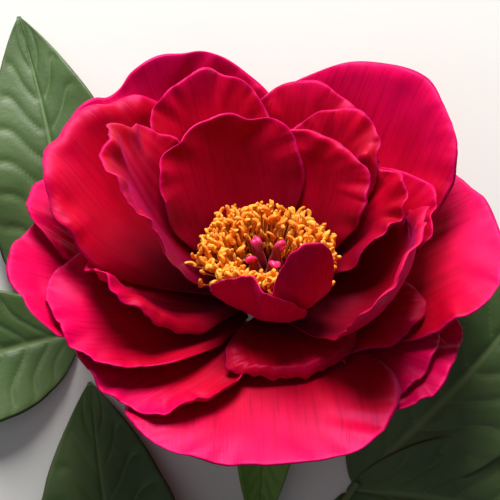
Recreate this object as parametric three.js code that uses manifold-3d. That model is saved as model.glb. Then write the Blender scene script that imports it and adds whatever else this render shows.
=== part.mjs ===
import * as THREE from "three";
import { mergeVertices } from "three/addons/utils/BufferGeometryUtils.js";
import Module from "manifold-3d";

// A cut peony laid down: bloom, bent neck, stem and three leaves. Millimetres, +Z up.
// The bloom is worked out about its own axis and then leaned back towards +Y.

const BLOOM_LEAN = 40;            // degrees from upright, towards +Y
const BLOOM_HEIGHT = 27;          // receptacle above the table
const PETAL_THICKNESS = 0.9;
const CLEARANCE = 0.35;           // air left between pieces that nearly touch
const GRID = 16;                  // cells each way where petals are pushed apart
const GRID_STEP = 2;              // every second line is kept in the finished petal
const LAYER_GAP = 1.5;            // distance kept between the middles of two petals
const PUSH_ASIDE = 3;             // sideways reach of one petal's push on another
const PUSH_DEPTH = 7;             // petals crossed deeper than this are left alone
const PUSH_ROUNDS = 5;
const SIMPLIFY = 0.07;            // how far flattening may move a surface
const STEM_RADIUS = 2.8;
const STEM_LENGTH = 138;
const LEAF_THICKNESS = 0.8;
const THIN_EDGE = 0.7;            // a leaf's margin against its middle
const STAMEN_TUFTS = 8;
const CARPELS = 4;
const SEPALS = 5;

const wasm = await Module();
wasm.setup();

const radians = (degrees) => degrees * Math.PI / 180;
const clamp = (value, low, high) => Math.min(high, Math.max(low, value));

function smoothStep(from, to, value) {
  const t = clamp((value - from) / (to - from), 0, 1);
  return t * t * (3 - 2 * t);
}

// a smooth curve through evenly spaced values
function through(keys, place) {
  const last = keys.length - 1;
  const at = clamp(place, 0, 1) * last;
  const i = Math.min(Math.floor(at), last - 1);
  const f = at - i;
  const before = keys[Math.max(i - 1, 0)];
  const a = keys[i];
  const b = keys[i + 1];
  const after = keys[Math.min(i + 2, last)];
  const slope = (b - before) * f;
  const bend = (2 * before - 5 * a + 4 * b - after) * f * f;
  const turn = (3 * a - before - 3 * b + after) * f * f * f;
  return 0.5 * (2 * a + slope + bend + turn);
}

function chance(seed, index, kind) {
  const value = Math.sin(seed * 12.9898 + index * 78.233 + kind * 37.719) * 43758.5453;
  return value - Math.floor(value);
}

// a repeatable wavy line, about -1 to 1
function waves(place, seed, count) {
  let sum = 0;
  for (let k = 1; k <= count; k += 1) {
    const size = 0.5 + 0.5 * chance(seed, k, 0);
    const start = 2 * Math.PI * chance(seed, k, 1);
    const rate = (0.7 + 0.6 * chance(seed, k, 2)) * k;
    sum += size * Math.sin(rate * place + start) / k ** 0.6;
  }
  return sum / 1.9;
}

// Each petal: around = compass place (0 right, 90 back, 180 left, 270 front), lean = the
// midrib's angle from the bloom's axis from claw to tip, cup = how far it wraps across,
// lips = how far the clockwise side, tip and other side curl outward, all in degrees.
// claw = width at the foot against the widest place. nicks = place around the margin
// (-1 clockwise side, 0 tip, 1 other side), depth and width of each dent in it.
// Inner petals come first: each later petal lies outside the ones before it.
const INNER = {
  base: [5.0, 4.0], claw: 0.18, cup: [90, 80, 60, 40], ruffle: 1.4, scallop: 0.06, nicks: [],
  lips: [0, 0, 0], lipWidth: 4, roll: 0,
};
const MIDDLE = {
  base: [6.4, 2.0], claw: 0.2, cup: [80, 70, 60, 40], ruffle: 1.4, scallop: 0.06, nicks: [],
  lips: [0, 0, 0], lipWidth: 5, roll: 0,
};
const OUTER = {
  base: [6.8, 0.2], claw: 0.24, cup: [60, 50, 40, 25], ruffle: 1.4, scallop: 0.05, nicks: [],
  lips: [0, 0, 0], lipWidth: 5, roll: 0,
};

const PETALS = [
  {
    ...INNER, name: "petal_inner_back_left", around: 116, length: 45, width: 44,
    lean: [62, 42, 32, 20], seed: 3, scallop: 0.05, nicks: [[0.38, 0.07, 0.14], [-0.32, 0.06, 0.12]],
  },
  {
    ...INNER, name: "petal_inner_back_right", around: 70, length: 41, width: 46,
    lean: [64, 44, 32, 26], seed: 5, nicks: [[0.1, 0.05, 0.14], [-0.5, 0.05, 0.1]],
    lips: [10, 60, 10], lipWidth: 3,
  },
  {
    ...INNER, name: "petal_inner_front_right", around: -62, length: 44, width: 19,
    lean: [76, 44, 0, -16], seed: 14, ruffle: 0.5, scallop: 0.03,
  },
  {
    ...INNER, name: "petal_inner_front", around: -100, length: 30, width: 24, lean: [72, 50, 10, -4],
    seed: 16, ruffle: 0.8,
  },
  {
    ...INNER, name: "petal_inner_left", around: 164, length: 59, width: 42, lean: [66, 44, 30, 22],
    seed: 21, cup: [90, 90, 80, 40], roll: -14, ruffle: 2.0,
    nicks: [[-0.42, 0.13, 0.13], [-0.78, 0.06, 0.08]], lips: [0, 50, 20],
  },
  {
    ...INNER, name: "petal_inner_right_back", around: 56, length: 50, width: 29,
    lean: [66, 52, 44, 40], seed: 8, lips: [60, 20, 0],
  },
  {
    ...INNER, name: "petal_inner_right", around: 27, length: 43, width: 30, lean: [68, 56, 48, 44],
    seed: 9, ruffle: 2.0, scallop: 0.08, nicks: [[0.1, 0.08, 0.1], [0.5, 0.06, 0.08]],
  },
  {
    ...INNER, name: "petal_inner_cupped_right", around: -22, length: 58, width: 50,
    lean: [86, 70, 20, -6], seed: 11, base: [5.4, 3.4], cup: [90, 90, 80, 60], ruffle: 1.2,
    nicks: [[0.3, 0.06, 0.12], [-0.4, 0.05, 0.1]], lips: [20, 60, 60],
  },
  {
    ...MIDDLE, name: "petal_middle_back_left", around: 112, length: 60, width: 36,
    lean: [74, 58, 42, 34], seed: 24, cup: [70, 60, 50, 30], ruffle: 1.8, nicks: [[-0.3, 0.04, 0.1]],
  },
  {
    ...MIDDLE, name: "petal_middle_back_right", around: 74, length: 56, width: 38,
    lean: [76, 58, 42, 34], seed: 27, ruffle: 1.2, lips: [110, 20, 0], lipWidth: 6,
  },
  {
    ...MIDDLE, name: "petal_middle_left", around: 149, length: 66, width: 56, lean: [80, 66, 48, 38],
    seed: 29, cup: [80, 80, 70, 50], roll: 4, ruffle: 2.0, scallop: 0.05,
    nicks: [[0.12, 0.05, 0.07], [-0.35, 0.04, 0.1], [0.6, 0.04, 0.1]], lips: [30, 50, 60],
    lipWidth: 6,
  },
  {
    ...MIDDLE, name: "petal_middle_right", around: 19, length: 48, width: 32, lean: [78, 66, 52, 44],
    seed: 33, ruffle: 1.2, nicks: [[-0.35, 0.06, 0.12]],
  },
  {
    ...MIDDLE, name: "petal_middle_front_left", around: 197, length: 46, width: 33,
    lean: [80, 66, 44, 34], seed: 35, ruffle: 1.6, nicks: [[-0.2, 0.05, 0.1], [0.5, 0.07, 0.12]],
    lips: [10, 30, 80],
  },
  {
    ...MIDDLE, name: "petal_middle_front", around: -74, length: 27, width: 36, lean: [86, 84, 76, 60],
    seed: 37, base: [6.6, 1.8], cup: [60, 60, 50, 30], ruffle: 1.2, nicks: [[0.2, 0.05, 0.12]],
    lips: [60, 110, 60],
  },
  {
    ...MIDDLE, name: "petal_middle_front_right", around: -27, length: 39, width: 30,
    lean: [84, 80, 70, 56], seed: 39, base: [6.6, 1.8], nicks: [[-0.1, 0.05, 0.1]],
    lips: [90, 70, 20],
  },
  {
    ...OUTER, name: "petal_outer_back_left", around: 131, length: 72, width: 74,
    lean: [86, 62, 40, 28], seed: 41, cup: [60, 60, 60, 40], nicks: [[-0.35, 0.03, 0.08]],
  },
  {
    ...OUTER, name: "petal_outer_back_right", around: 53, length: 70, width: 60,
    lean: [86, 64, 42, 32], seed: 43, cup: [60, 60, 60, 40], lips: [40, 30, 0],
  },
  {
    ...OUTER, name: "petal_outer_right", around: 12, length: 59, width: 66, lean: [86, 76, 66, 66],
    seed: 45, base: [6.8, 0.0], ruffle: 1.8, nicks: [[0.72, 0.06, 0.08], [0.25, 0.03, 0.08]],
  },
  {
    ...OUTER, name: "petal_outer_front_left", around: 199, length: 54, width: 44,
    lean: [86, 80, 72, 70], seed: 55, base: [6.7, 0.8], ruffle: 2.0, scallop: 0.07,
    nicks: [[0.1, 0.06, 0.08]],
  },
  {
    ...OUTER, name: "petal_outer_left_small", around: 163, length: 63, width: 30,
    lean: [86, 74, 64, 64], seed: 51, base: [6.9, -0.4],
  },
  {
    ...OUTER, name: "petal_outer_left", around: 181, length: 63, width: 48, lean: [86, 78, 72, 72],
    seed: 53, ruffle: 1.8, nicks: [[-0.3, 0.03, 0.1]],
  },
  {
    ...OUTER, name: "petal_outer_front_left_low", around: 224, length: 50, width: 46,
    lean: [88, 86, 80, 78], seed: 57, ruffle: 1.8, scallop: 0.08, lips: [0, 0, -50],
  },
  {
    ...OUTER, name: "petal_outer_front", around: 269, length: 54, width: 70, lean: [88, 84, 84, 86],
    seed: 59, base: [6.9, -0.4], cup: [40, 40, 20, 0], claw: 0.26, ruffle: 1.2,
  },
  {
    ...OUTER, name: "petal_outer_front_right", around: -37, length: 45, width: 38,
    lean: [88, 84, 80, 76], seed: 47, base: [6.8, -0.4],
  },
  {
    ...OUTER, name: "petal_guard_front_right", around: -33, length: 50, width: 44,
    lean: [88, 86, 82, 78], seed: 49, base: [7.0, -0.8],
  },
  {
    ...OUTER, name: "petal_guard_back", around: 95, length: 56, width: 52, lean: [90, 84, 76, 74],
    seed: 61, base: [7.1, -1.4], cup: [50, 50, 50, 40],
  },
  {
    ...OUTER, name: "petal_guard_back_left", around: 140, length: 60, width: 50,
    lean: [90, 84, 74, 70], seed: 63, base: [7.1, -1.6], cup: [50, 50, 40, 40],
  },
  {
    ...OUTER, name: "petal_guard_back_right", around: 50, length: 60, width: 50,
    lean: [90, 84, 74, 70], seed: 65, base: [7.1, -1.6], cup: [50, 50, 40, 40],
  },
];

const BELLY = 0.62;               // how far up a petal is widest
const COLOURS = {
  petal: 0xb3062f,
  receptacle: 0x6f8a3a,
  carpel: 0x8a1030,
  stamen: 0xe08a1c,
  sepal: 0x5f7f34,
  stem: 0x5d7a3a,
  leaf: 0x3f6232,
  bract: 0x6f9a2c,
};

// where the flat petal's point (across -1..1, along 0..1) lies: sideways part, share of the
// length, distance from the middle towards the margin, and place around the margin
function flatPetal(spec, across, along) {
  const half = 0.5;
  const low = along <= half;
  const up = clamp((along - half) / (1 - half), 0, 1);
  let side = across * Math.sqrt(1 - up * up / 2);
  let rise = up * Math.sqrt(1 - across * across / 2);
  let narrow = 1;
  if (low) {
    narrow = spec.claw + (1 - spec.claw) * Math.sin(Math.PI / 2 * clamp(along / half, 0, 1));
    side = across * narrow;
    rise = 0;
  }
  let share = low ? along / half * BELLY : BELLY + (1 - BELLY) * rise;
  const toMargin = low ? Math.abs(across) : Math.hypot(side, rise);
  const angle = Math.atan2(rise, side);
  const around = low
    ? -Math.sign(across) * (1 + BELLY - share)
    : (angle - Math.PI / 2) / (Math.PI / 2);
  let scallop = spec.scallop * waves(around * 3.2, spec.seed * 7 + 1, 5);
  for (const [place, depth, width] of spec.nicks) {
    scallop -= depth * Math.exp(-(((around - place) / width) ** 2));
  }
  const grow = 1 + scallop * Math.min(toMargin, 1) ** 3 * smoothStep(0, 0.35, share);
  side *= grow;
  share = low ? share : BELLY + (share - BELLY) * grow;
  return { side, share, toMargin, angle, around, narrow, low };
}

// the margin of a petal curls back on itself like a lip
function lipOf(spec, flat) {
  const place = clamp(flat.around, -1, 1);
  const clockwise = smoothStep(0.15, 0.9, -place);
  const tip = 1 - smoothStep(0.1, 0.85, Math.abs(place));
  const other = smoothStep(0.15, 0.9, place);
  const total = Math.max(clockwise + tip + other, 1e-6);
  const blend = (spec.lips[0] * clockwise + spec.lips[1] * tip + spec.lips[2] * other) / total;
  const turn = radians(blend) * smoothStep(0.1, 0.45, flat.share);
  const inside = (1 - Math.min(flat.toMargin, 1)) * spec.width / 2 * flat.narrow;
  const beyond = Math.max(spec.lipWidth - inside, 0);
  const bend = Math.abs(turn) < 1e-5 ? 1e-5 / spec.lipWidth : turn / spec.lipWidth;
  const back = beyond - Math.sin(bend * beyond) / bend;
  const drop = (1 - Math.cos(bend * beyond)) / bend;
  const outX = flat.low ? Math.sign(flat.side) : Math.cos(flat.angle);
  const outY = flat.low ? 0 : Math.sin(flat.angle);
  return { x: outX * back, share: outY * back / spec.length, drop };
}

// the midrib in the plane through the bloom's axis, as a list of radius, height and lean
function midrib(spec) {
  const steps = 160;
  const first = -0.05;
  const last = 1.12;
  const points = [];
  let radius = 0;
  let height = 0;
  for (let i = 0; i <= steps; i += 1) {
    const share = first + (last - first) * i / steps;
    const lean = radians(through(spec.lean, share));
    if (i > 0) {
      const middle = (lean + points[i - 1].lean) / 2;
      const pace = (last - first) * spec.length / steps;
      radius += Math.sin(middle) * pace;
      height += Math.cos(middle) * pace;
    }
    points.push({ share, radius, height, lean });
  }
  const at = (share) => {
    const place = clamp((share - first) / (last - first) * steps, 0, steps - 1e-6);
    const i = Math.floor(place);
    const f = place - i;
    const a = points[i];
    const b = points[i + 1];
    return {
      radius: a.radius + (b.radius - a.radius) * f,
      height: a.height + (b.height - a.height) * f,
      lean: a.lean + (b.lean - a.lean) * f,
    };
  };
  const claw = at(0);
  return (share) => {
    const p = at(share);
    return {
      radius: p.radius - claw.radius + spec.base[0],
      height: p.height - claw.height + spec.base[1],
      lean: p.lean,
    };
  };
}

// one petal as a grid of points about the bloom's axis
function petalGrid(spec) {
  const rib = midrib(spec);
  const compass = radians(spec.around);
  const outward = new THREE.Vector3(Math.cos(compass), Math.sin(compass), 0);
  const sideways = new THREE.Vector3(Math.sin(compass), -Math.cos(compass), 0);
  const rows = [];
  for (let j = 0; j <= GRID; j += 1) {
    const row = [];
    for (let i = 0; i <= GRID; i += 1) {
      const flat = flatPetal(spec, 2 * i / GRID - 1, j / GRID);
      const lip = lipOf(spec, flat);
      const x = flat.side * spec.width / 2 - lip.x;
      const share = flat.share - lip.share;
      const spine = rib(share);
      const wrap = radians(Math.max(through(spec.cup, share), 0.5)) / spec.width;
      const margin = smoothStep(0.45, 1, Math.min(flat.toMargin, 1)) * smoothStep(0.15, 0.5, share);
      const ruffle = spec.ruffle * margin * waves(flat.around * 5.4, spec.seed * 13 + 5, 5);
      const swell = 0.8 * waves(share * 4 + flat.side * 1.5, spec.seed + 31, 3)
        * smoothStep(0.1, 0.6, share) * (1 - 0.5 * flat.toMargin);
      const off = ruffle + swell - lip.drop;
      const lateral = Math.sin(wrap * x) / wrap - Math.sin(wrap * x) * off;
      const lift = (1 - Math.cos(wrap * x)) / wrap + Math.cos(wrap * x) * off;
      const roll = radians(spec.roll * smoothStep(0, 1, share));
      const across = lateral * Math.cos(roll) - lift * Math.sin(roll);
      const inward = lateral * Math.sin(roll) + lift * Math.cos(roll);
      const point = new THREE.Vector3(0, 0, spine.height + inward * Math.sin(spine.lean));
      point.addScaledVector(outward, spine.radius - inward * Math.cos(spine.lean));
      point.addScaledVector(sideways, across);
      row.push(point);
    }
    rows.push(row);
  }
  return rows;
}

// unit normals of a grid, pointing away from the bloom's axis on a petal
function gridNormals(grid) {
  const rows = grid.length - 1;
  const columns = grid[0].length - 1;
  return grid.map((row, j) => row.map((point, i) => {
    const right = row[Math.min(i + 1, columns)].clone().sub(row[Math.max(i - 1, 0)]);
    const up = grid[Math.min(j + 1, rows)][i].clone().sub(grid[Math.max(j - 1, 0)][i]);
    return up.cross(right).normalize();
  }));
}

// how far a point must move to stand clear of an inner petal, or null
function pushFrom(point, inner) {
  let best = Infinity;
  let nearest = 0;
  for (let k = 0; k < inner.points.length; k += 3) {
    const x = point.x - inner.points[k];
    const y = point.y - inner.points[k + 1];
    const z = point.z - inner.points[k + 2];
    const gap = x * x + y * y + z * z;
    if (gap < best) {
      best = gap;
      nearest = k;
    }
  }
  const normal = new THREE.Vector3().fromArray(inner.normals, nearest);
  const height = point.clone().sub(new THREE.Vector3().fromArray(inner.points, nearest)).dot(normal);
  const aside = Math.sqrt(Math.max(best - height * height, 0));
  if (aside > PUSH_ASIDE || height > LAYER_GAP || height < -PUSH_DEPTH) {
    return null;
  }
  return normal.multiplyScalar(LAYER_GAP - height);
}

function flatten(grid) {
  const normals = gridNormals(grid);
  return {
    points: Float64Array.from(grid.flat().flatMap((p) => p.toArray())),
    normals: Float64Array.from(normals.flat().flatMap((p) => p.toArray())),
    box: new THREE.Box3().setFromPoints(grid.flat()).expandByScalar(LAYER_GAP),
  };
}

// evens out how far a petal's points have moved, so that it bends and doesn't crease
function evenOut(moves) {
  const rows = moves.length - 1;
  const columns = moves[0].length - 1;
  return moves.map((row, j) => row.map((move, i) => {
    const mean = new THREE.Vector3();
    mean.add(moves[Math.max(j - 1, 0)][i]).add(moves[Math.min(j + 1, rows)][i]);
    mean.add(row[Math.max(i - 1, 0)]).add(row[Math.min(i + 1, columns)]);
    return mean.divideScalar(4).lerp(move, 0.5);
  }));
}

// outer petals are pushed outward until they lie clear of the inner ones
function pushApart(grids) {
  const start = grids.map((grid) => grid.map((row) => row.map((point) => point.clone())));
  const skins = grids.map(flatten);
  for (let round = 0; round < PUSH_ROUNDS; round += 1) {
    for (let outer = 1; outer < grids.length; outer += 1) {
      for (let inner = 0; inner < outer; inner += 1) {
        if (skins[inner].box.intersectsBox(skins[outer].box)) {
          const moves = grids[outer].map((row, j) => row.map((point, i) => {
            const push = pushFrom(point, skins[inner]) ?? new THREE.Vector3();
            return point.clone().add(push).sub(start[outer][j][i]);
          }));
          const even = evenOut(moves);
          grids[outer] = start[outer].map((row, j) => {
            return row.map((point, i) => point.clone().add(even[j][i]));
          });
        }
      }
      skins[outer] = flatten(grids[outer]);
    }
  }
  return grids;
}

// leans the bloom back and sets it above the table
function placeBloom(point) {
  const lean = radians(BLOOM_LEAN);
  return new THREE.Vector3(
    point.x,
    point.y * Math.cos(lean) + point.z * Math.sin(lean),
    point.z * Math.cos(lean) - point.y * Math.sin(lean) + BLOOM_HEIGHT,
  );
}

// whatever would sink below the table bends along it instead
function onTable(point, half) {
  const soft = 4;
  const height = point.z - half;
  let kept = height;
  if (height < soft) {
    kept = height < -soft ? 0 : (height + soft) ** 2 / (4 * soft);
  }
  return new THREE.Vector3(point.x, point.y, kept + half);
}

// a closed sheet of the given thickness over a grid, thinner towards its margin
function sheet(grid, thickness, edgeShare) {
  const rows = grid.length;
  const columns = grid[0].length;
  const normals = gridNormals(grid);
  const positions = [];
  const at = (side, j, i) => (side * rows + j) * columns + i;
  [1, -1].forEach((side) => {
    grid.forEach((row, j) => row.forEach((point, i) => {
      const border = j === rows - 1 || i === 0 || i === columns - 1;
      const half = thickness / 2 * (border ? edgeShare : 1);
      const p = point.clone().addScaledVector(normals[j][i], side * half);
      positions.push(p.x, p.y, p.z);
    }));
  });
  const index = [];
  const quad = (a, b, c, d) => index.push(a, b, c, a, c, d);
  for (let j = 0; j < rows - 1; j += 1) {
    for (let i = 0; i < columns - 1; i += 1) {
      quad(at(0, j, i), at(0, j + 1, i), at(0, j + 1, i + 1), at(0, j, i + 1));
      quad(at(1, j, i), at(1, j, i + 1), at(1, j + 1, i + 1), at(1, j + 1, i));
    }
  }
  for (let j = 0; j < rows - 1; j += 1) {
    quad(at(0, j, 0), at(1, j, 0), at(1, j + 1, 0), at(0, j + 1, 0));
    const last = columns - 1;
    quad(at(0, j + 1, last), at(1, j + 1, last), at(1, j, last), at(0, j, last));
  }
  for (let i = 0; i < columns - 1; i += 1) {
    quad(at(0, 0, i + 1), at(1, 0, i + 1), at(1, 0, i), at(0, 0, i));
    quad(at(0, rows - 1, i), at(1, rows - 1, i), at(1, rows - 1, i + 1), at(0, rows - 1, i + 1));
  }
  const geometry = new THREE.BufferGeometry();
  geometry.setAttribute("position", new THREE.Float32BufferAttribute(positions, 3));
  geometry.setIndex(index);
  return geometry;
}

// a closed tube through points, round, with a radius for each point
function tube(path, radii, sides) {
  const positions = [];
  const index = [];
  const side = new THREE.Vector3(1, 0, 0);
  path.forEach((point, k) => {
    const next = path[Math.min(k + 1, path.length - 1)];
    const last = path[Math.max(k - 1, 0)];
    const ahead = next.clone().sub(last).normalize();
    const across = side.clone().addScaledVector(ahead, -side.dot(ahead)).normalize();
    const over = new THREE.Vector3().crossVectors(ahead, across);
    for (let s = 0; s < sides; s += 1) {
      const turn = 2 * Math.PI * (s + 0.5) / sides;
      const p = point.clone();
      p.addScaledVector(across, radii[k] * Math.cos(turn));
      p.addScaledVector(over, radii[k] * Math.sin(turn));
      positions.push(p.x, p.y, p.z);
    }
  });
  for (let k = 0; k < path.length - 1; k += 1) {
    for (let s = 0; s < sides; s += 1) {
      const a = k * sides + s;
      const b = k * sides + (s + 1) % sides;
      index.push(a, b, b + sides, a, b + sides, a + sides);
    }
  }
  const end = (path.length - 1) * sides;
  for (let s = 1; s < sides - 1; s += 1) {
    index.push(0, s + 1, s);
    index.push(end, end + s, end + s + 1);
  }
  const geometry = new THREE.BufferGeometry();
  geometry.setAttribute("position", new THREE.Float32BufferAttribute(positions, 3));
  geometry.setIndex(index);
  return geometry;
}

function toSolid(geometry) {
  const vertProperties = new Float32Array(geometry.getAttribute("position").array);
  const triVerts = new Uint32Array(geometry.getIndex().array);
  return new wasm.Manifold(new wasm.Mesh({ numProp: 3, vertProperties, triVerts }));
}

function toGeometry(solid) {
  const mesh = solid.getMesh();
  const geometry = new THREE.BufferGeometry();
  geometry.setAttribute("position", new THREE.BufferAttribute(mesh.vertProperties, 3));
  geometry.setIndex(new THREE.BufferAttribute(mesh.triVerts, 1));
  return geometry;
}

// the outermost closed skin of a solid, without loose crumbs or sealed hollows
function mainSkin(solid) {
  const mesh = solid.getMesh();
  const owner = Array.from({ length: mesh.numVert }, (_, k) => k);
  const find = (k) => {
    let root = k;
    while (owner[root] !== root) {
      owner[root] = owner[owner[root]];
      root = owner[root];
    }
    return root;
  };
  const join = (a, b) => {
    owner[find(a)] = find(b);
  };
  mesh.mergeFromVert?.forEach((from, k) => join(from, mesh.mergeToVert[k]));
  for (let t = 0; t < mesh.triVerts.length; t += 3) {
    join(mesh.triVerts[t], mesh.triVerts[t + 1]);
    join(mesh.triVerts[t], mesh.triVerts[t + 2]);
  }
  const corner = (k) => new THREE.Vector3().fromArray(mesh.vertProperties, 3 * k);
  const volumes = new Map();
  const skins = new Map();
  for (let t = 0; t < mesh.triVerts.length; t += 3) {
    const [a, b, c] = mesh.triVerts.slice(t, t + 3);
    const root = find(a);
    const volume = corner(a).dot(corner(b).cross(corner(c))) / 6;
    volumes.set(root, (volumes.get(root) ?? 0) + volume);
    if (!skins.has(root)) {
      skins.set(root, []);
    }
    skins.get(root).push(a, b, c);
  }
  const best = [...volumes.keys()].sort((a, b) => volumes.get(b) - volumes.get(a))[0];
  const geometry = new THREE.BufferGeometry();
  geometry.setAttribute("position", new THREE.BufferAttribute(mesh.vertProperties, 3));
  geometry.setIndex(skins.get(best));
  const kept = geometry.toNonIndexed();
  kept.deleteAttribute("normal");
  return toSolid(mergeVertices(kept, 1e-5));
}

// the biggest single body left of a solid after the cutters are taken away
function carve(solid, cutters) {
  const box = solid.boundingBox();
  const near = cutters.filter((cutter) => {
    const other = cutter.boundingBox();
    return [0, 1, 2].every((k) => box.min[k] < other.max[k] && other.min[k] < box.max[k]);
  });
  if (near.length === 0) {
    return solid;
  }
  const taken = wasm.Manifold.union(near);
  return mainSkin(solid.subtract(taken).simplify(SIMPLIFY).subtract(taken));
}

function moveVertices(geometry, move) {
  const position = geometry.getAttribute("position");
  for (let k = 0; k < position.count; k += 1) {
    const p = move(new THREE.Vector3().fromBufferAttribute(position, k));
    position.setXYZ(k, p.x, p.y, p.z);
  }
  return geometry;
}

// the swollen top of the stem that everything in the bloom grows from
function receptacleGeometry() {
  const profile = [
    [0.01, -8.4], [2.9, -8.4], [4.4, -6.4], [5.8, -4.4], [6.4, -2.6], [6.4, -1.2],
    [5.8, 0.2], [4.8, 2.0], [4.0, 3.8], [2.6, 4.6], [0.01, 4.8],
  ];
  const sides = 16;
  const path = profile.map((point) => new THREE.Vector3(0, 0, point[1]));
  for (let k = 1; k < path.length; k += 1) {
    path[k].z = Math.max(path[k].z, path[k - 1].z + 0.01);
  }
  return moveVertices(tube(path, profile.map((point) => point[0]), sides), placeBloom);
}

// a flask-shaped carpel with its stigma turned outward
function carpelGeometry(number) {
  const compass = 2 * Math.PI * (number + 0.35) / CARPELS;
  const line = [
    [3.0, 5.2, 0.8], [3.0, 7.0, 1.5], [3.1, 9.5, 1.8], [3.2, 12, 1.6], [3.3, 14.2, 1.1],
    [3.8, 16, 0.9], [4.9, 17, 0.9], [6.0, 16.6, 0.6],
  ];
  const out = new THREE.Vector3(Math.cos(compass), Math.sin(compass), 0);
  const path = line.map((p) => out.clone().multiplyScalar(p[0]).setZ(p[1]));
  return moveVertices(tube(path, line.map((p) => p[2]), 8), placeBloom);
}

// one bunch of stamens: a sector of the ring that stands round the carpels
const STAMEN_RING = [
  [5.3, 5.8], [6.6, 6.2], [11.0, 10.4], [15.2, 14.2], [18.2, 17.6],
  [18.4, 19.6], [15.8, 21.2], [12.2, 20.8], [9.6, 18.8], [7.6, 14.0], [6.0, 9.4],
];
function stamenGeometry(number) {
  const steps = 5;
  const gap = 0.03;
  const corners = STAMEN_RING.length;
  const width = 2 * Math.PI / STAMEN_TUFTS;
  const positions = [];
  for (let k = 0; k <= steps; k += 1) {
    const compass = number * width + gap + (width - 2 * gap) * k / steps;
    STAMEN_RING.forEach(([radius, height], c) => {
      const tall = smoothStep(10, 18, height);
      const grow = 1 + 0.04 * tall * waves(compass * 5, c + 3, 4);
      const x = radius * grow * Math.cos(compass);
      const y = radius * grow * Math.sin(compass);
      positions.push(x, y, height + 0.6 * tall * waves(compass * 6, 5 * c + 1, 3));
    });
  }
  const index = [];
  for (let k = 0; k < steps; k += 1) {
    for (let c = 0; c < corners; c += 1) {
      const a = k * corners + c;
      const b = k * corners + (c + 1) % corners;
      index.push(a, b + corners, b, a, a + corners, b + corners);
    }
  }
  const outline = STAMEN_RING.map((p) => new THREE.Vector2(p[0], p[1]));
  THREE.ShapeUtils.triangulateShape(outline, []).forEach(([a, b, c]) => {
    const end = steps * corners;
    index.push(a, b, c);
    index.push(end + a, end + c, end + b);
  });
  const geometry = new THREE.BufferGeometry();
  geometry.setAttribute("position", new THREE.Float32BufferAttribute(positions, 3));
  geometry.setIndex(index);
  return moveVertices(geometry, placeBloom);
}

// sepals: short green scales under the petals
function sepalGrid(number) {
  const grid = [];
  const rows = 6;
  const columns = 4;
  const compass = 2 * Math.PI * (number + 0.1) / SEPALS;
  const length = 21 + 3 * Math.sin(2.4 * number);
  for (let j = 0; j <= rows; j += 1) {
    const along = j / rows;
    const half = 6.0 * (0.35 + 0.65 * Math.sin(Math.PI * (0.12 + 0.8 * along)));
    const row = [];
    for (let i = 0; i <= columns; i += 1) {
      const side = 2 * i / columns - 1;
      const radius = 6.4 + length * along;
      const height = -4.6 - 7 * Math.sin(1.3 * along) + 2.2 * side * side * along;
      const across = half * side * (1 - 0.4 * along * along);
      const point = new THREE.Vector3(
        radius * Math.cos(compass) + across * Math.sin(compass),
        radius * Math.sin(compass) - across * Math.cos(compass),
        height,
      );
      row.push(onTable(placeBloom(point), LEAF_THICKNESS / 2 + 0.2));
    }
    grid.push(row);
  }
  return grid;
}

// the stem leaves the bloom backwards, bends down and lies along the table
function stemPath() {
  const top = placeBloom(new THREE.Vector3(0, 0, -8.8));
  const tilt = radians(90 - BLOOM_LEAN);
  const bendRadius = (top.z - STEM_RADIUS) / (1 - Math.cos(tilt));
  const path = [];
  const bendSteps = 8;
  for (let k = 0; k <= bendSteps; k += 1) {
    const turn = tilt * (1 - k / bendSteps);
    const forward = bendRadius * (Math.sin(tilt) - Math.sin(turn));
    const above = bendRadius * (1 - Math.cos(turn));
    path.push(new THREE.Vector3(0, top.y - forward, STEM_RADIUS + above));
  }
  const bendEnd = path[bendSteps].y;
  const straightSteps = 8;
  const straight = STEM_LENGTH + bendEnd;
  for (let k = 1; k <= straightSteps; k += 1) {
    path.push(new THREE.Vector3(0, bendEnd - straight * k / straightSteps, STEM_RADIUS));
  }
  path.forEach((point) => {
    point.x = -15 * (point.y / STEM_LENGTH) ** 2;
  });
  return path;
}

function stemGeometry() {
  const path = stemPath();
  const radii = path.map(() => STEM_RADIUS);
  radii[0] = STEM_RADIUS + 0.3;
  return tube(path, radii, 12);
}

// a leaflet's blade: base and tip on the table, width, sideways bend, and lift of its middle
function leafletGrid({ base, tip, width, bend, lift, seed }) {
  const rows = 10;
  const columns = 4;
  const start = new THREE.Vector2(...base);
  const reach = new THREE.Vector2(...tip).sub(start);
  const length = reach.length();
  const ahead = reach.clone().normalize();
  const right = new THREE.Vector2(ahead.y, -ahead.x);
  const grid = [];
  for (let j = 0; j <= rows; j += 1) {
    const along = j / rows;
    const half = Math.max(width / 2 * Math.sin(Math.PI * along ** 0.8) ** 0.85, 0.5);
    const row = [];
    for (let i = 0; i <= columns; i += 1) {
      const side = 2 * i / columns - 1;
      const sway = bend * Math.sin(Math.PI * along);
      const x = half * side + sway;
      const flat = start.clone().addScaledVector(ahead, length * along).addScaledVector(right, x);
      const fold = 1.6 * side * side * Math.sin(Math.PI * along);
      const swing = 1 + waves(along * 9 + side, seed, 3);
      const wave = 0.9 * Math.abs(side) * swing * Math.sin(Math.PI * along);
      const height = lift * Math.sin(Math.PI * along) ** 2 + fold + wave;
      row.push(new THREE.Vector3(flat.x, flat.y, LEAF_THICKNESS / 2 + height));
    }
    grid.push(row);
  }
  return grid;
}

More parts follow.
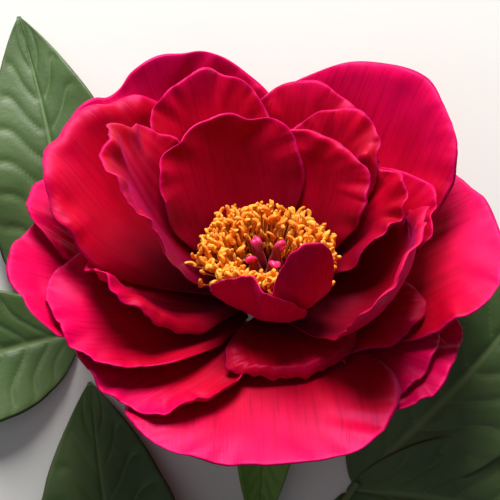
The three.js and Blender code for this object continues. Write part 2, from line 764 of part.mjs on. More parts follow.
// each leaf: the stalk's line on the table from the stem outward, then its leaflets
const LEAVES = [
  {
    name: "leaf_left",
    stalk: [[-5.4, -42], [-22, -32], [-40, -18], [-54, -8]],
    leaflets: [
      { base: [-53, -9], tip: [-70, 82], width: 40, bend: 3, lift: 5, seed: 2 },
      { base: [-52, -8], tip: [-114, -32], width: 38, bend: 3, lift: 4, seed: 3 },
      { base: [-50, -11], tip: [-16, 24], width: 22, bend: -1, lift: 2, seed: 4 },
    ],
  },
  {
    name: "leaf_right",
    stalk: [[0.6, -74], [12, -66], [20, -58], [26, -50]],
    leaflets: [
      { base: [25, -51], tip: [94, 30], width: 48, bend: 4, lift: 6, seed: 5 },
      { base: [23, -52], tip: [113, -72], width: 40, bend: -4, lift: 4, seed: 6 },
      { base: [22, -53], tip: [38, -132], width: 34, bend: 2, lift: 3, seed: 7 },
    ],
  },
  {
    name: "leaf_lower_left",
    stalk: [[-14.6, -122], [-24, -116], [-32, -108]],
    leaflets: [
      { base: [-31, -109], tip: [-49, -22], width: 43, bend: -2, lift: 6, seed: 8 },
      { base: [-30, -108], tip: [-106, -74], width: 36, bend: 3, lift: 4, seed: 9 },
      { base: [-29, -110], tip: [-92, -134], width: 30, bend: -2, lift: 3, seed: 10 },
    ],
  },
];

// stalk and leaflets of one leaf, grown together
function leafSolid(leaf) {
  const thick = 1.3;
  const ends = leaf.stalk.map(([x, y]) => new THREE.Vector3(x, y, thick));
  const path = new THREE.CatmullRomCurve3(ends).getPoints(6);
  const radii = path.map((_, k) => thick - 0.3 * k / path.length);
  const blades = leaf.leaflets.map((leaflet) => {
    return toSolid(sheet(leafletGrid(leaflet), LEAF_THICKNESS, THIN_EDGE));
  });
  return wasm.Manifold.union([toSolid(tube(path, radii, 8)), ...blades]);
}

// the small bract that grows just under the bloom and lies over the stem
function bractGrid() {
  const rows = 8;
  const columns = 4;
  const grid = [];
  for (let j = 0; j <= rows; j += 1) {
    const along = j / rows;
    const half = Math.max(8 * Math.sin(Math.PI * (0.06 + 0.92 * along ** 0.8)), 0.8);
    const row = [];
    for (let i = 0; i <= columns; i += 1) {
      const side = 2 * i / columns - 1;
      const fold = 1.4 * side * side * Math.sin(Math.PI * along);
      const height = 16.5 - 9 * Math.sin(Math.PI / 2 * along) + fold;
      row.push(new THREE.Vector3(2 - 4 * along + half * side, -19 - 46 * along, height));
    }
    grid.push(row.reverse());
  }
  return grid;
}

function addPiece(group, name, solid, colour) {
  const material = new THREE.MeshStandardMaterial({ color: colour, side: THREE.DoubleSide });
  const mesh = new THREE.Mesh(toGeometry(solid), material);
  mesh.name = name;
  group.add(mesh);
}

function addPetals(group) {
  const grids = pushApart(PETALS.map(petalGrid));
  const cutters = [];
  grids.forEach((grid, number) => {
    const kept = grid.filter((_, j) => j % GRID_STEP === 0)
      .map((row) => row.filter((_, i) => i % GRID_STEP === 0)
        .map((point) => onTable(placeBloom(point), PETAL_THICKNESS / 2)));
    const petal = carve(toSolid(sheet(kept, PETAL_THICKNESS, 0.6)), cutters);
    addPiece(group, PETALS[number].name, petal, COLOURS.petal);
    cutters.push(toSolid(sheet(kept, PETAL_THICKNESS + 2 * CLEARANCE, 1)), petal);
  });
  return cutters;
}

function peony() {
  const group = new THREE.Group();
  group.name = "peony";
  const petals = addPetals(group);
  addPiece(group, "receptacle", carve(toSolid(receptacleGeometry()), petals), COLOURS.receptacle);
  for (let k = 0; k < CARPELS; k += 1) {
    addPiece(group, `carpel_${k + 1}`, toSolid(carpelGeometry(k)), COLOURS.carpel);
  }
  for (let k = 0; k < STAMEN_TUFTS; k += 1) {
    addPiece(group, `stamens_${k + 1}`, carve(toSolid(stamenGeometry(k)), petals), COLOURS.stamen);
  }
  const sepals = [];
  for (let k = 0; k < SEPALS; k += 1) {
    const grid = sepalGrid(k);
    const sepal = carve(toSolid(sheet(grid, LEAF_THICKNESS, THIN_EDGE)), [...petals, ...sepals]);
    addPiece(group, `sepal_${k + 1}`, sepal, COLOURS.sepal);
    sepals.push(toSolid(sheet(grid, LEAF_THICKNESS + 2 * CLEARANCE, 1)));
  }
  const stemWithAir = toSolid(tube(stemPath(), stemPath().map(() => STEM_RADIUS + CLEARANCE), 12));
  const bloomCutters = [...petals, ...sepals, stemWithAir];
  addPiece(group, "stem", toSolid(stemGeometry()), COLOURS.stem);
  LEAVES.forEach((leaf) => {
    addPiece(group, leaf.name, carve(leafSolid(leaf), bloomCutters), COLOURS.leaf);
  });
  const bract = carve(toSolid(sheet(bractGrid(), LEAF_THICKNESS, THIN_EDGE)), bloomCutters);
  addPiece(group, "bract_leaf", bract, COLOURS.bract);
  const box = new THREE.Box3().setFromObject(group);
  const centre = box.getCenter(new THREE.Vector3());
  group.children.forEach((mesh) => mesh.geometry.translate(-centre.x, -centre.y, -box.min.z));
  return group;
}

export default peony();
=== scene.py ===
# %% [markdown]
# # A cut peony, laid on a table
#
# This lesson dresses a plain solid model of a picked peony as the real flower: thin satin
# petals with pleats and curled lips, a ring of loose crinkled stamens around the carpels,
# and divided leaves with sunken veins. The solid model says where each piece is; here each
# one is grown again from the same few measurements, only much finer.

# %% Start from the solid model
import math

import bpy
import numpy as np
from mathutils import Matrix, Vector


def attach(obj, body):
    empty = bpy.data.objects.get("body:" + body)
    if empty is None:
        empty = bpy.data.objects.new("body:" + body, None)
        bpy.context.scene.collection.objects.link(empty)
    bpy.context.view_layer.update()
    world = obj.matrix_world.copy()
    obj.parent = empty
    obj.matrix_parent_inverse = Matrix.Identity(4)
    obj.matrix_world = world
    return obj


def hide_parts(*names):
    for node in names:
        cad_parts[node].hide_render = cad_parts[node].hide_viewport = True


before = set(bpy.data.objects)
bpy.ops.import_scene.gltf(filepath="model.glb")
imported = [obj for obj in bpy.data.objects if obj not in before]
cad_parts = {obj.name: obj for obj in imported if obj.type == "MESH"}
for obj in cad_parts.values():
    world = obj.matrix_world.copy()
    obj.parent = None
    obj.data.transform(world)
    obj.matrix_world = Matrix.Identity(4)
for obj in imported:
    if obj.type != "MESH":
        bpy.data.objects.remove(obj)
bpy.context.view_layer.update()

MM = 0.001                      # the flower is described in millimetres

# %% [markdown]
# ## Small tools
#
# Growth is smooth but never regular. `through` draws a smooth curve through a few values,
# and `waves` is a repeatable wavy line made of a few sines, used wherever a margin ruffles
# or a surface swells. The same seed always gives the same line.

# %% Curves and waves
def smooth_step(low, high, value):
    t = np.clip((value - low) / (high - low), 0, 1)
    return t * t * (3 - 2 * t)


def through(keys, place):
    keys = np.asarray(keys, float)
    last = len(keys) - 1
    at = np.clip(place, 0, 1) * last
    i = np.clip(np.floor(at).astype(int), 0, last - 1)
    f = at - i
    before, a = keys[np.maximum(i - 1, 0)], keys[i]
    b, after = keys[i + 1], keys[np.minimum(i + 2, last)]
    slope = (b - before) * f
    bend = (2 * before - 5 * a + 4 * b - after) * f * f
    turn = (3 * a - before - 3 * b + after) * f * f * f
    return 0.5 * (2 * a + slope + bend + turn)


def chance(seed, index, kind):
    value = math.sin(seed * 12.9898 + index * 78.233 + kind * 37.719) * 43758.5453
    return value - math.floor(value)


def waves(place, seed, count):
    total = 0
    for k in range(1, count + 1):
        size = 0.5 + 0.5 * chance(seed, k, 0)
        start = 2 * math.pi * chance(seed, k, 1)
        rate = (0.7 + 0.6 * chance(seed, k, 2)) * k
        total = total + size * np.sin(rate * place + start) / k ** 0.6
    return total / 1.9


# %% [markdown]
# ## Where the bloom sits
#
# The bloom is worked out about its own axis and then leaned back: the stem was cut and
# laid down, so the neck bends and the heavy head rests on its back petals. Whatever would
# sink into the table bends along it.

# %% Place of the bloom
BLOOM_LEAN = math.radians(40)
BLOOM_HEIGHT = 27.0
TABLE_SOFTNESS = 4.0
MODEL_SHIFT = np.array([0.5403, 28.3115, 0.0])      # puts the middle of the whole part on the origin


def place_bloom(points):
    x, y, z = points[..., 0], points[..., 1], points[..., 2]
    c, s = math.cos(BLOOM_LEAN), math.sin(BLOOM_LEAN)
    return np.stack([x, y * c + z * s, z * c - y * s + BLOOM_HEIGHT], axis=-1)


def on_table(points, half):
    height = points[..., 2] - half
    soft = TABLE_SOFTNESS
    eased = (height + soft) ** 2 / (4 * soft)
    kept = np.where(height >= soft, height, np.where(height < -soft, 0.0, eased))
    out = points.copy()
    out[..., 2] = kept + half
    return out

# %% [markdown]
# ## The petals
#
# A semi-double peony has a few whorls: big rounded guard petals outside, smaller ones
# inside that stand up around the stamens. Each petal is a claw that widens to a broad
# blade. `around` is its compass place (0 right, 90 back, 180 left, 270 front), `lean` is
# the midrib's angle from the bloom's axis at even steps from claw to tip, `cup` is how far
# the blade wraps across, and `lips` is how far the clockwise side, the tip and the other
# side curl back. Inner petals come first.

# %% Every petal's own measurements
WHORLS = {
    "inner": dict(base=(5.0, 4.0), claw=0.18, cup=(90, 80, 60, 40), ruffle=1.4, scallop=0.06,
                 nicks=(), lips=(0, 0, 0), lip_width=4, roll=0),
    "middle": dict(base=(6.4, 2.0), claw=0.2, cup=(80, 70, 60, 40), ruffle=1.4, scallop=0.06,
                  nicks=(), lips=(0, 0, 0), lip_width=5, roll=0),
    "outer": dict(base=(6.8, 0.2), claw=0.24, cup=(60, 50, 40, 25), ruffle=1.4, scallop=0.05,
                 nicks=(), lips=(0, 0, 0), lip_width=5, roll=0),
}


def petal(whorl, name, around, length, width, lean, seed, **own):
    return {**WHORLS[whorl], "whorl": whorl, "name": "petal_" + name, "around": around,
            "length": length, "width": width, "lean": lean, "seed": seed, **own}


PETALS = [
    petal("inner", "inner_back_left", 116, 45, 44, (62, 42, 32, 20), 3, scallop=0.05,
          nicks=((0.38, 0.07, 0.14), (-0.32, 0.06, 0.12))),
    petal("inner", "inner_back_right", 70, 41, 46, (64, 44, 32, 26), 5, lips=(10, 60, 10), lip_width=3,
          nicks=((0.1, 0.05, 0.14), (-0.5, 0.05, 0.1))),
    petal("inner", "inner_front_right", -62, 44, 19, (76, 44, 0, -16), 14, ruffle=0.5, scallop=0.03),
    petal("inner", "inner_front", -100, 30, 24, (72, 50, 10, -4), 16, ruffle=0.8),
    petal("inner", "inner_left", 164, 59, 42, (66, 44, 30, 22), 21, cup=(90, 90, 80, 40), roll=-14,
          ruffle=2.0, scallop=0.06, lips=(0, 50, 20), nicks=((-0.42, 0.13, 0.13), (-0.78, 0.06, 0.08))),
    petal("inner", "inner_right_back", 56, 50, 29, (66, 52, 44, 40), 8, lips=(60, 20, 0)),
    petal("inner", "inner_right", 27, 43, 30, (68, 56, 48, 44), 9, ruffle=2.0, scallop=0.08,
          nicks=((0.1, 0.08, 0.1), (0.5, 0.06, 0.08))),
    petal("inner", "inner_cupped_right", -22, 58, 50, (86, 70, 20, -6), 11, base=(5.4, 3.4),
          cup=(90, 90, 80, 60), ruffle=1.2, lips=(20, 60, 60),
          nicks=((0.3, 0.06, 0.12), (-0.4, 0.05, 0.1))),
    petal("middle", "middle_back_left", 112, 60, 36, (74, 58, 42, 34), 24,
          cup=(70, 60, 50, 30), ruffle=1.8, nicks=((-0.3, 0.04, 0.1),)),
    petal("middle", "middle_back_right", 74, 56, 38, (76, 58, 42, 34), 27, ruffle=1.2,
          lips=(110, 20, 0), lip_width=6),
    petal("middle", "middle_left", 149, 66, 56, (80, 66, 48, 38), 29, cup=(80, 80, 70, 50), roll=4,
          ruffle=2.0, scallop=0.05, lips=(30, 50, 60), lip_width=6,
          nicks=((0.12, 0.05, 0.07), (-0.35, 0.04, 0.1), (0.6, 0.04, 0.1))),
    petal("middle", "middle_right", 19, 48, 32, (78, 66, 52, 44), 33, ruffle=1.2,
          nicks=((-0.35, 0.06, 0.12),)),
    petal("middle", "middle_front_left", 197, 46, 33, (80, 66, 44, 34), 35,
          lips=(10, 30, 80), ruffle=1.6, nicks=((-0.2, 0.05, 0.1), (0.5, 0.07, 0.12))),
    petal("middle", "middle_front", -74, 27, 36, (86, 84, 76, 60), 37, base=(6.6, 1.8),
          cup=(60, 60, 50, 30), ruffle=1.2, lips=(60, 110, 60), nicks=((0.2, 0.05, 0.12),)),
    petal("middle", "middle_front_right", -27, 39, 30, (84, 80, 70, 56), 39, base=(6.6, 1.8),
          ruffle=1.4, lips=(90, 70, 20), nicks=((-0.1, 0.05, 0.1),)),
    petal("outer", "outer_back_left", 131, 72, 74, (86, 62, 40, 28), 41, cup=(60, 60, 60, 40),
          nicks=((-0.35, 0.03, 0.08),)),
    petal("outer", "outer_back_right", 53, 70, 60, (86, 64, 42, 32), 43,
          cup=(60, 60, 60, 40), lips=(40, 30, 0)),
    petal("outer", "outer_right", 12, 59, 66, (86, 76, 66, 66), 45, base=(6.8, 0.0), ruffle=1.8,
          nicks=((0.72, 0.06, 0.08), (0.25, 0.03, 0.08))),
    petal("outer", "outer_front_left", 199, 54, 44, (86, 80, 72, 70), 55, base=(6.7, 0.8), ruffle=2.0,
          scallop=0.07, nicks=((0.1, 0.06, 0.08),)),
    petal("outer", "outer_left_small", 163, 63, 30, (86, 74, 64, 64), 51, base=(6.9, -0.4)),
    petal("outer", "outer_left", 181, 63, 48, (86, 78, 72, 72), 53, ruffle=1.8,
          nicks=((-0.3, 0.03, 0.1),)),
    petal("outer", "outer_front_left_low", 224, 50, 46, (88, 86, 80, 78), 57, scallop=0.08,
          lips=(0, 0, -50), ruffle=1.8),
    petal("outer", "outer_front", 269, 54, 70, (88, 84, 84, 86), 59, base=(6.9, -0.4),
          cup=(40, 40, 20, 0), claw=0.26, ruffle=1.2),
    petal("outer", "outer_front_right", -37, 45, 38, (88, 84, 80, 76), 47, base=(6.8, -0.4),
          ruffle=1.4),
    petal("outer", "guard_front_right", -33, 50, 44, (88, 86, 82, 78), 49, base=(7.0, -0.8),
          ruffle=1.4),
    petal("outer", "guard_back", 95, 56, 52, (90, 84, 76, 74), 61, base=(7.1, -1.4),
          cup=(50, 50, 50, 40)),
    petal("outer", "guard_back_left", 140, 60, 50, (90, 84, 74, 70), 63, base=(7.1, -1.6),
          cup=(50, 50, 40, 40)),
    petal("outer", "guard_back_right", 50, 60, 50, (90, 84, 74, 70), 65, base=(7.1, -1.6),
          cup=(50, 50, 40, 40)),
]
print(len(PETALS), "petals")

# %% [markdown]
# A flat petal is laid out first: how far across and how far along each point of an even
# grid lies, so that the grid follows the round tip and the narrow claw. Scallops nibble
# the margin.

# %% The flat outline
BELLY = 0.62                    # how far up a petal is widest


def flat_petal(spec, across, along):
    half = 0.5
    low = along <= half
    up = np.clip((along - half) / (1 - half), 0, 1)
    widening = np.sin(math.pi / 2 * np.clip(along / half, 0, 1))
    narrow = np.where(low, spec["claw"] + (1 - spec["claw"]) * widening, 1.0)
    side = np.where(low, across * narrow, across * np.sqrt(1 - up * up / 2))
    rise = np.where(low, 0.0, up * np.sqrt(1 - across * across / 2))
    share = np.where(low, along / half * BELLY, BELLY + (1 - BELLY) * rise)
    to_margin = np.where(low, np.abs(across), np.hypot(side, rise))
    angle = np.arctan2(rise, side)
    around = np.where(low, -np.sign(across) * (1 + BELLY - share),
                      (angle - math.pi / 2) / (math.pi / 2))
    scallop = spec["scallop"] * waves(around * 3.2, spec["seed"] * 7 + 1, 5)
    for place, depth, width in spec["nicks"]:
        scallop = scallop - depth * np.exp(-((around - place) / width) ** 2)
    grow = 1 + scallop * np.minimum(to_margin, 1) ** 3 * smooth_step(0, 0.35, share)
    side = side * grow
    share = np.where(low, share, BELLY + (share - BELLY) * grow)
    return dict(side=side, share=share, to_margin=np.minimum(to_margin, 1), angle=angle, around=around,
                narrow=narrow, low=low)


def lip_of(spec, flat):
    place = np.clip(flat["around"], -1, 1)
    clockwise = smooth_step(0.15, 0.9, -place)
    tip = 1 - smooth_step(0.1, 0.85, np.abs(place))
    other = smooth_step(0.15, 0.9, place)
    total = np.maximum(clockwise + tip + other, 1e-6)
    lips = spec["lips"]
    blend = (lips[0] * clockwise + lips[1] * tip + lips[2] * other) / total
    turn = np.radians(blend) * smooth_step(0.1, 0.45, flat["share"])
    inside = (1 - flat["to_margin"]) * spec["width"] / 2 * flat["narrow"]
    beyond = np.maximum(spec["lip_width"] - inside, 0)
    bend = np.where(np.abs(turn) < 1e-5, 1e-5, turn) / spec["lip_width"]
    back = beyond - np.sin(bend * beyond) / bend
    drop = (1 - np.cos(bend * beyond)) / bend
    out_x = np.where(flat["low"], np.sign(flat["side"]), np.cos(flat["angle"]))
    out_y = np.where(flat["low"], 0.0, np.sin(flat["angle"]))
    return out_x * back, out_y * back / spec["length"], drop


# %% [markdown]
# The midrib is followed from claw to tip in small steps, then the blade is wrapped across
# it. On the finished petals two finer growths are added on top: pleats that fan out from
# the claw, left from lying folded in the bud, and a tighter ruffle along the margin.

# %% The petal in space
PLEAT_DEPTH = 0.22
CRIMP_DEPTH = 0.2


def midrib(spec):
    steps = 160
    share = np.linspace(-0.05, 1.12, steps + 1)
    lean = np.radians(through(spec["lean"], share))
    pace = (share[1] - share[0]) * spec["length"]
    middle = (lean[1:] + lean[:-1]) / 2
    radius = np.concatenate([[0], np.cumsum(np.sin(middle) * pace)])
    height = np.concatenate([[0], np.cumsum(np.cos(middle) * pace)])
    radius += spec["base"][0] - np.interp(0, share, radius)
    height += spec["base"][1] - np.interp(0, share, height)
    return lambda at: tuple(np.interp(at, share, values) for values in (radius, height, lean))


def sheet_maps(rows, columns):
    """Along 0..1 and across -1..1 at every point of a grid."""
    return np.meshgrid(np.linspace(0, 1, rows + 1), np.linspace(-1, 1, columns + 1), indexing="ij")


def petal_points(spec, cells, fine=False):
    along, across = sheet_maps(cells, cells)
    flat = flat_petal(spec, across, along)
    lip_x, lip_share, lip_drop = lip_of(spec, flat)
    seed = spec["seed"]
    x = flat["side"] * spec["width"] / 2 - lip_x
    share = flat["share"] - lip_share
    radius, height, lean = midrib(spec)(share)
    wrap = np.radians(np.maximum(through(spec["cup"], share), 0.5)) / spec["width"]
    margin = smooth_step(0.45, 1, flat["to_margin"]) * smooth_step(0.15, 0.5, share)
    ruffle = spec["ruffle"] * margin * waves(flat["around"] * 5.4, seed * 13 + 5, 5)
    swell = 0.8 * waves(share * 4 + flat["side"] * 1.5, seed + 31, 3)
    swell = swell * smooth_step(0.1, 0.6, share) * (1 - 0.5 * flat["to_margin"])
    off = ruffle + swell - lip_drop
    if fine:
        fan = flat["side"] / np.maximum(0.25 + 0.75 * flat["narrow"], 0.2)
        pleat = waves(fan * 11 + 0.6 * waves(share * 3, seed + 3, 2), seed * 3 + 2, 4)
        pleated = smooth_step(0.08, 0.4, share) * (1 - 0.5 * smooth_step(0.7, 1, share))
        off = off + PLEAT_DEPTH * pleat * pleated
        crimp = waves(flat["around"] * 19, seed * 17 + 9, 5) * smooth_step(0.78, 1, flat["to_margin"])
        off = off + CRIMP_DEPTH * spec["ruffle"] * crimp * smooth_step(0.3, 0.6, share)
    lateral = np.sin(wrap * x) / wrap - np.sin(wrap * x) * off
    lift = (1 - np.cos(wrap * x)) / wrap + np.cos(wrap * x) * off
    roll = np.radians(spec["roll"] * smooth_step(0, 1, share))
    sideways = lateral * np.cos(roll) - lift * np.sin(roll)
    inward = lateral * np.sin(roll) + lift * np.cos(roll)
    compass = math.radians(spec["around"])
    reach = radius - inward * np.cos(lean)
    points = np.stack([
        reach * math.cos(compass) + sideways * math.sin(compass),
        reach * math.sin(compass) - sideways * math.cos(compass),
        height + inward * np.sin(lean),
    ], axis=-1)
    return points, flat, share


# %% [markdown]
# Petals grow packed together, and none passes through another. Working from the inside
# out, each petal's points that would lie inside an earlier petal's skin, or too near it,
# are pushed clear along that skin's own direction, and the moves are evened out so that
# the petal bends and doesn't crease. This is done on a coarse grid and carried over to
# the fine one.

# %% Pushing the petals apart
GRID = 16
LAYER_GAP = 1.5
PUSH_ASIDE = 3
PUSH_DEPTH = 7
PUSH_ROUNDS = 5


def one_sided(points, axis):
    ahead = np.concatenate([np.take(points, range(1, points.shape[axis]), axis),
                            np.take(points, [-1], axis)], axis)
    behind = np.concatenate([np.take(points, [0], axis),
                             np.take(points, range(points.shape[axis] - 1), axis)], axis)
    return ahead - behind


def grid_normals(points):
    normals = np.cross(one_sided(points, 0), one_sided(points, 1))
    return normals / np.maximum(np.linalg.norm(normals, axis=-1, keepdims=True), 1e-12)


def push_from(points, inner, normals):
    flat_inner = inner.reshape(-1, 3)
    flat_normals = normals.reshape(-1, 3)
    p = points.reshape(-1, 3)
    apart = p @ flat_inner.T
    squares = (p ** 2).sum(1)[:, None] + (flat_inner ** 2).sum(1)[None] - 2 * apart
    nearest = squares.argmin(1)
    offset = p - flat_inner[nearest]
    height = (offset * flat_normals[nearest]).sum(1)
    aside = np.sqrt(np.maximum((offset ** 2).sum(1) - height ** 2, 0))
    push = (aside <= PUSH_ASIDE) & (height <= LAYER_GAP) & (height >= -PUSH_DEPTH)
    step = np.where(push, LAYER_GAP - height, 0)[:, None] * flat_normals[nearest]
    return step.reshape(points.shape)


def even_out(moves):
    padded = np.pad(moves, ((1, 1), (1, 1), (0, 0)), mode="edge")
    mean = (padded[:-2, 1:-1] + padded[2:, 1:-1] + padded[1:-1, :-2] + padded[1:-1, 2:]) / 4
    return (mean + moves) / 2


def boxes_meet(a, b):
    low_a, high_a = a.reshape(-1, 3).min(0) - LAYER_GAP, a.reshape(-1, 3).max(0) + LAYER_GAP
    low_b, high_b = b.reshape(-1, 3).min(0) - LAYER_GAP, b.reshape(-1, 3).max(0) + LAYER_GAP
    return bool((low_a <= high_b).all() and (low_b <= high_a).all())


def push_apart(start):
    grids = [g.copy() for g in start]
    skins = [(g.copy(), grid_normals(g)) for g in grids]
    for _ in range(PUSH_ROUNDS):
        for outer in range(1, len(grids)):
            for inner in range(outer):
                if boxes_meet(skins[inner][0], skins[outer][0]):
                    pushed = grids[outer] + push_from(grids[outer], *skins[inner])
                    grids[outer] = start[outer] + even_out(pushed - start[outer])
            skins[outer] = (grids[outer].copy(), grid_normals(grids[outer]))
    return [g - s for g, s in zip(grids, start)]


coarse = [petal_points(spec, GRID)[0] for spec in PETALS]
moves = push_apart(coarse)
farthest = max(float(np.linalg.norm(move, axis=-1).max()) for move in moves)
print("petals moved by up to", round(farthest, 1), "mm")


def spread(field, cells):
    """A coarse field of moves, drawn smoothly over a finer grid."""
    out = field
    for axis in (0, 1):
        keys = np.moveaxis(out, axis, 0)
        at = np.linspace(0, 1, cells + 1)
        last = len(keys) - 1
        place = at * last
        i = np.clip(np.floor(place).astype(int), 0, last - 1)
        f = (place - i).reshape((-1,) + (1,) * (keys.ndim - 1))
        before, a = keys[np.maximum(i - 1, 0)], keys[i]
        b, after = keys[i + 1], keys[np.minimum(i + 2, last)]
        value = 0.5 * (2 * a + (b - before) * f + (2 * before - 5 * a + 4 * b - after) * f ** 2
                       + (3 * a - before - 3 * b + after) * f ** 3)
        out = np.moveaxis(value, 0, axis)
    return out

# %% [markdown]
# ## Making meshes
#
# Every thin piece is a closed sheet: a grid seen from both sides, its two skins meeting in
# a rounded margin. Every round piece is a tube through a line of points. Both keep a flat
# map of themselves (across, along), which the finishes use for veins, and on the petals for
# the pinker tips, part painted highlight, and the painted shade towards the claw.

# %% Mesh builders
def finish_mesh(name, vertices, faces, maps, material):
    mesh = bpy.data.meshes.new(name)
    mesh.from_pydata((np.asarray(vertices) * MM).tolist(), [], faces)
    corners = np.empty(len(mesh.loops), dtype=np.int64)
    mesh.loops.foreach_get("vertex_index", corners)
    for map_name, values in (maps if isinstance(maps, dict) else {"growth": maps}).items():
        layer = mesh.uv_layers.new(name=map_name)
        layer.data.foreach_set("uv", np.asarray(values, dtype=np.float32)[corners].ravel())
    mesh.polygons.foreach_set("use_smooth", [True] * len(mesh.polygons))
    mesh.materials.append(material)
    mesh.update()
    piece = bpy.data.objects.new(name, mesh)
    bpy.context.scene.collection.objects.link(piece)
    return piece


def sheet_arrays(points, thickness, margin_cells=1.6):
    """Vertices and faces of a closed sheet over a grid, rounded off at its margin."""
    rows, columns = points.shape[:2]
    normals = grid_normals(points)
    j, i = np.meshgrid(np.arange(rows), np.arange(columns), indexing="ij")
    edge = np.minimum(np.minimum(i, columns - 1 - i), rows - 1 - j)
    half = thickness / 2 * np.sqrt(np.clip(edge / margin_cells, 0, 1))
    front = points + normals * half[..., None]
    back = points - normals * half[..., None]
    rim = edge == 0
    number_front = np.arange(rows * columns).reshape(rows, columns)
    number_back = number_front.copy()
    number_back[~rim] = rows * columns + np.arange((~rim).sum())
    vertices = np.concatenate([front.reshape(-1, 3), back[~rim]])
    quads = []
    for number, turned in ((number_front, False), (number_back, True)):
        a, b = number[:-1, :-1], number[1:, :-1]
        c, d = number[1:, 1:], number[:-1, 1:]
        order = (a, d, c, b) if turned else (a, b, c, d)
        quads.append(np.stack([q.ravel() for q in order], axis=1))
    open_end = []
    for k in range(columns - 1):
        loop = [number_front[0, k], number_front[0, k + 1], number_back[0, k + 1], number_back[0, k]]
        open_end.append(list(dict.fromkeys(int(v) for v in loop)))
    return vertices, np.concatenate(quads).tolist() + open_end, rim


def sheet_piece(name, points, across, along, thickness, material):
    vertices, faces, rim = sheet_arrays(points, thickness)
    flat = np.stack([across, along], axis=-1)
    maps = np.concatenate([flat.reshape(-1, 2), flat[~rim]])
    return finish_mesh(name, vertices + MODEL_SHIFT, faces, maps, material)


def tube_arrays(path, radii, sides, bulge=None, start=0):
    """Vertices, faces and map of a closed round tube. bulge(turn, along) swells it."""
    path = np.asarray(path, float)
    radii = np.asarray(radii, float)
    rings = len(path)
    ahead = np.gradient(path, axis=0)
    ahead /= np.linalg.norm(ahead, axis=1, keepdims=True)
    side = np.array([1.0, 0.2, 0.1])
    turn = 2 * math.pi * np.arange(sides) / sides
    along = np.linspace(0, 1, rings)
    vertices = []
    for k in range(rings):
        across = side - ahead[k] * (side @ ahead[k])
        across /= np.linalg.norm(across)
        side = across
        over = np.cross(ahead[k], across)
        radius = radii[k] * (bulge(turn, along[k]) if bulge else np.ones(sides))
        ring = np.cos(turn)[:, None] * across + np.sin(turn)[:, None] * over
        vertices.append(path[k] + radius[:, None] * ring)
    vertices = np.concatenate(vertices)
    faces = []
    for k in range(rings - 1):
        for s in range(sides):
            a, b = k * sides + s, k * sides + (s + 1) % sides
            faces.append([start + a, start + b, start + b + sides, start + a + sides])
    faces.append([start + s for s in reversed(range(sides))])
    faces.append([start + (rings - 1) * sides + s for s in range(sides)])
    maps = np.stack([np.tile(turn / (2 * math.pi), rings), np.repeat(along, sides)], axis=1)
    return vertices, faces, maps


def tubes_piece(name, tubes, material):
    """One mesh of several tubes: path, radii, sides, bulge, and a mark added to the map."""
    vertices, faces, maps = [], [], []
    count = 0
    for tube in tubes:
        mark = tube.get("mark", (0, 0))
        v, f, m = tube_arrays(start=count, **{k: value for k, value in tube.items() if k != "mark"})
        vertices.append(v)
        faces += f
        maps.append(m + np.array(mark))
        count += len(v)
    points = np.concatenate(vertices) + MODEL_SHIFT
    return finish_mesh(name, points, faces, np.concatenate(maps), material)

# %% [markdown]
# ## Writing finishes as formulas
#
# `Wire` wraps one socket of a shader's node tree, so that a finish reads like the sum it
# is. Plus, minus and times add Math nodes; colours are mixed with Mix nodes.

# %% A small language for shaders
class Wire:
    def __init__(self, paint, socket):
        self.paint = paint
        self.socket = socket

    def _math(self, operation, *values):
        return self.paint.node("ShaderNodeMath", {"operation": operation}, *values)

    def __add__(self, other):
        return self._math("ADD", self, other)

    def __sub__(self, other):
        return self._math("SUBTRACT", self, other)

    def __mul__(self, other):
        return self._math("MULTIPLY", self, other)

    def __truediv__(self, other):
        return self._math("DIVIDE", self, other)

    def __pow__(self, other):
        return self._math("POWER", self, other)

    def __radd__(self, other):
        return self._math("ADD", other, self)

    def __rsub__(self, other):
        return self._math("SUBTRACT", other, self)

    def __rmul__(self, other):
        return self._math("MULTIPLY", other, self)

    def __rtruediv__(self, other):
        return self._math("DIVIDE", other, self)

    def size(self):
        return self._math("ABSOLUTE", self)

    def floor(self):
        return self._math("FLOOR", self)

    def ramp(self, low, high):
        """0 below low, 1 above high, smooth between."""
        smooth = {"interpolation_type": "SMOOTHSTEP"}
        return self.paint.node("ShaderNodeMapRange", smooth, self, low, high)


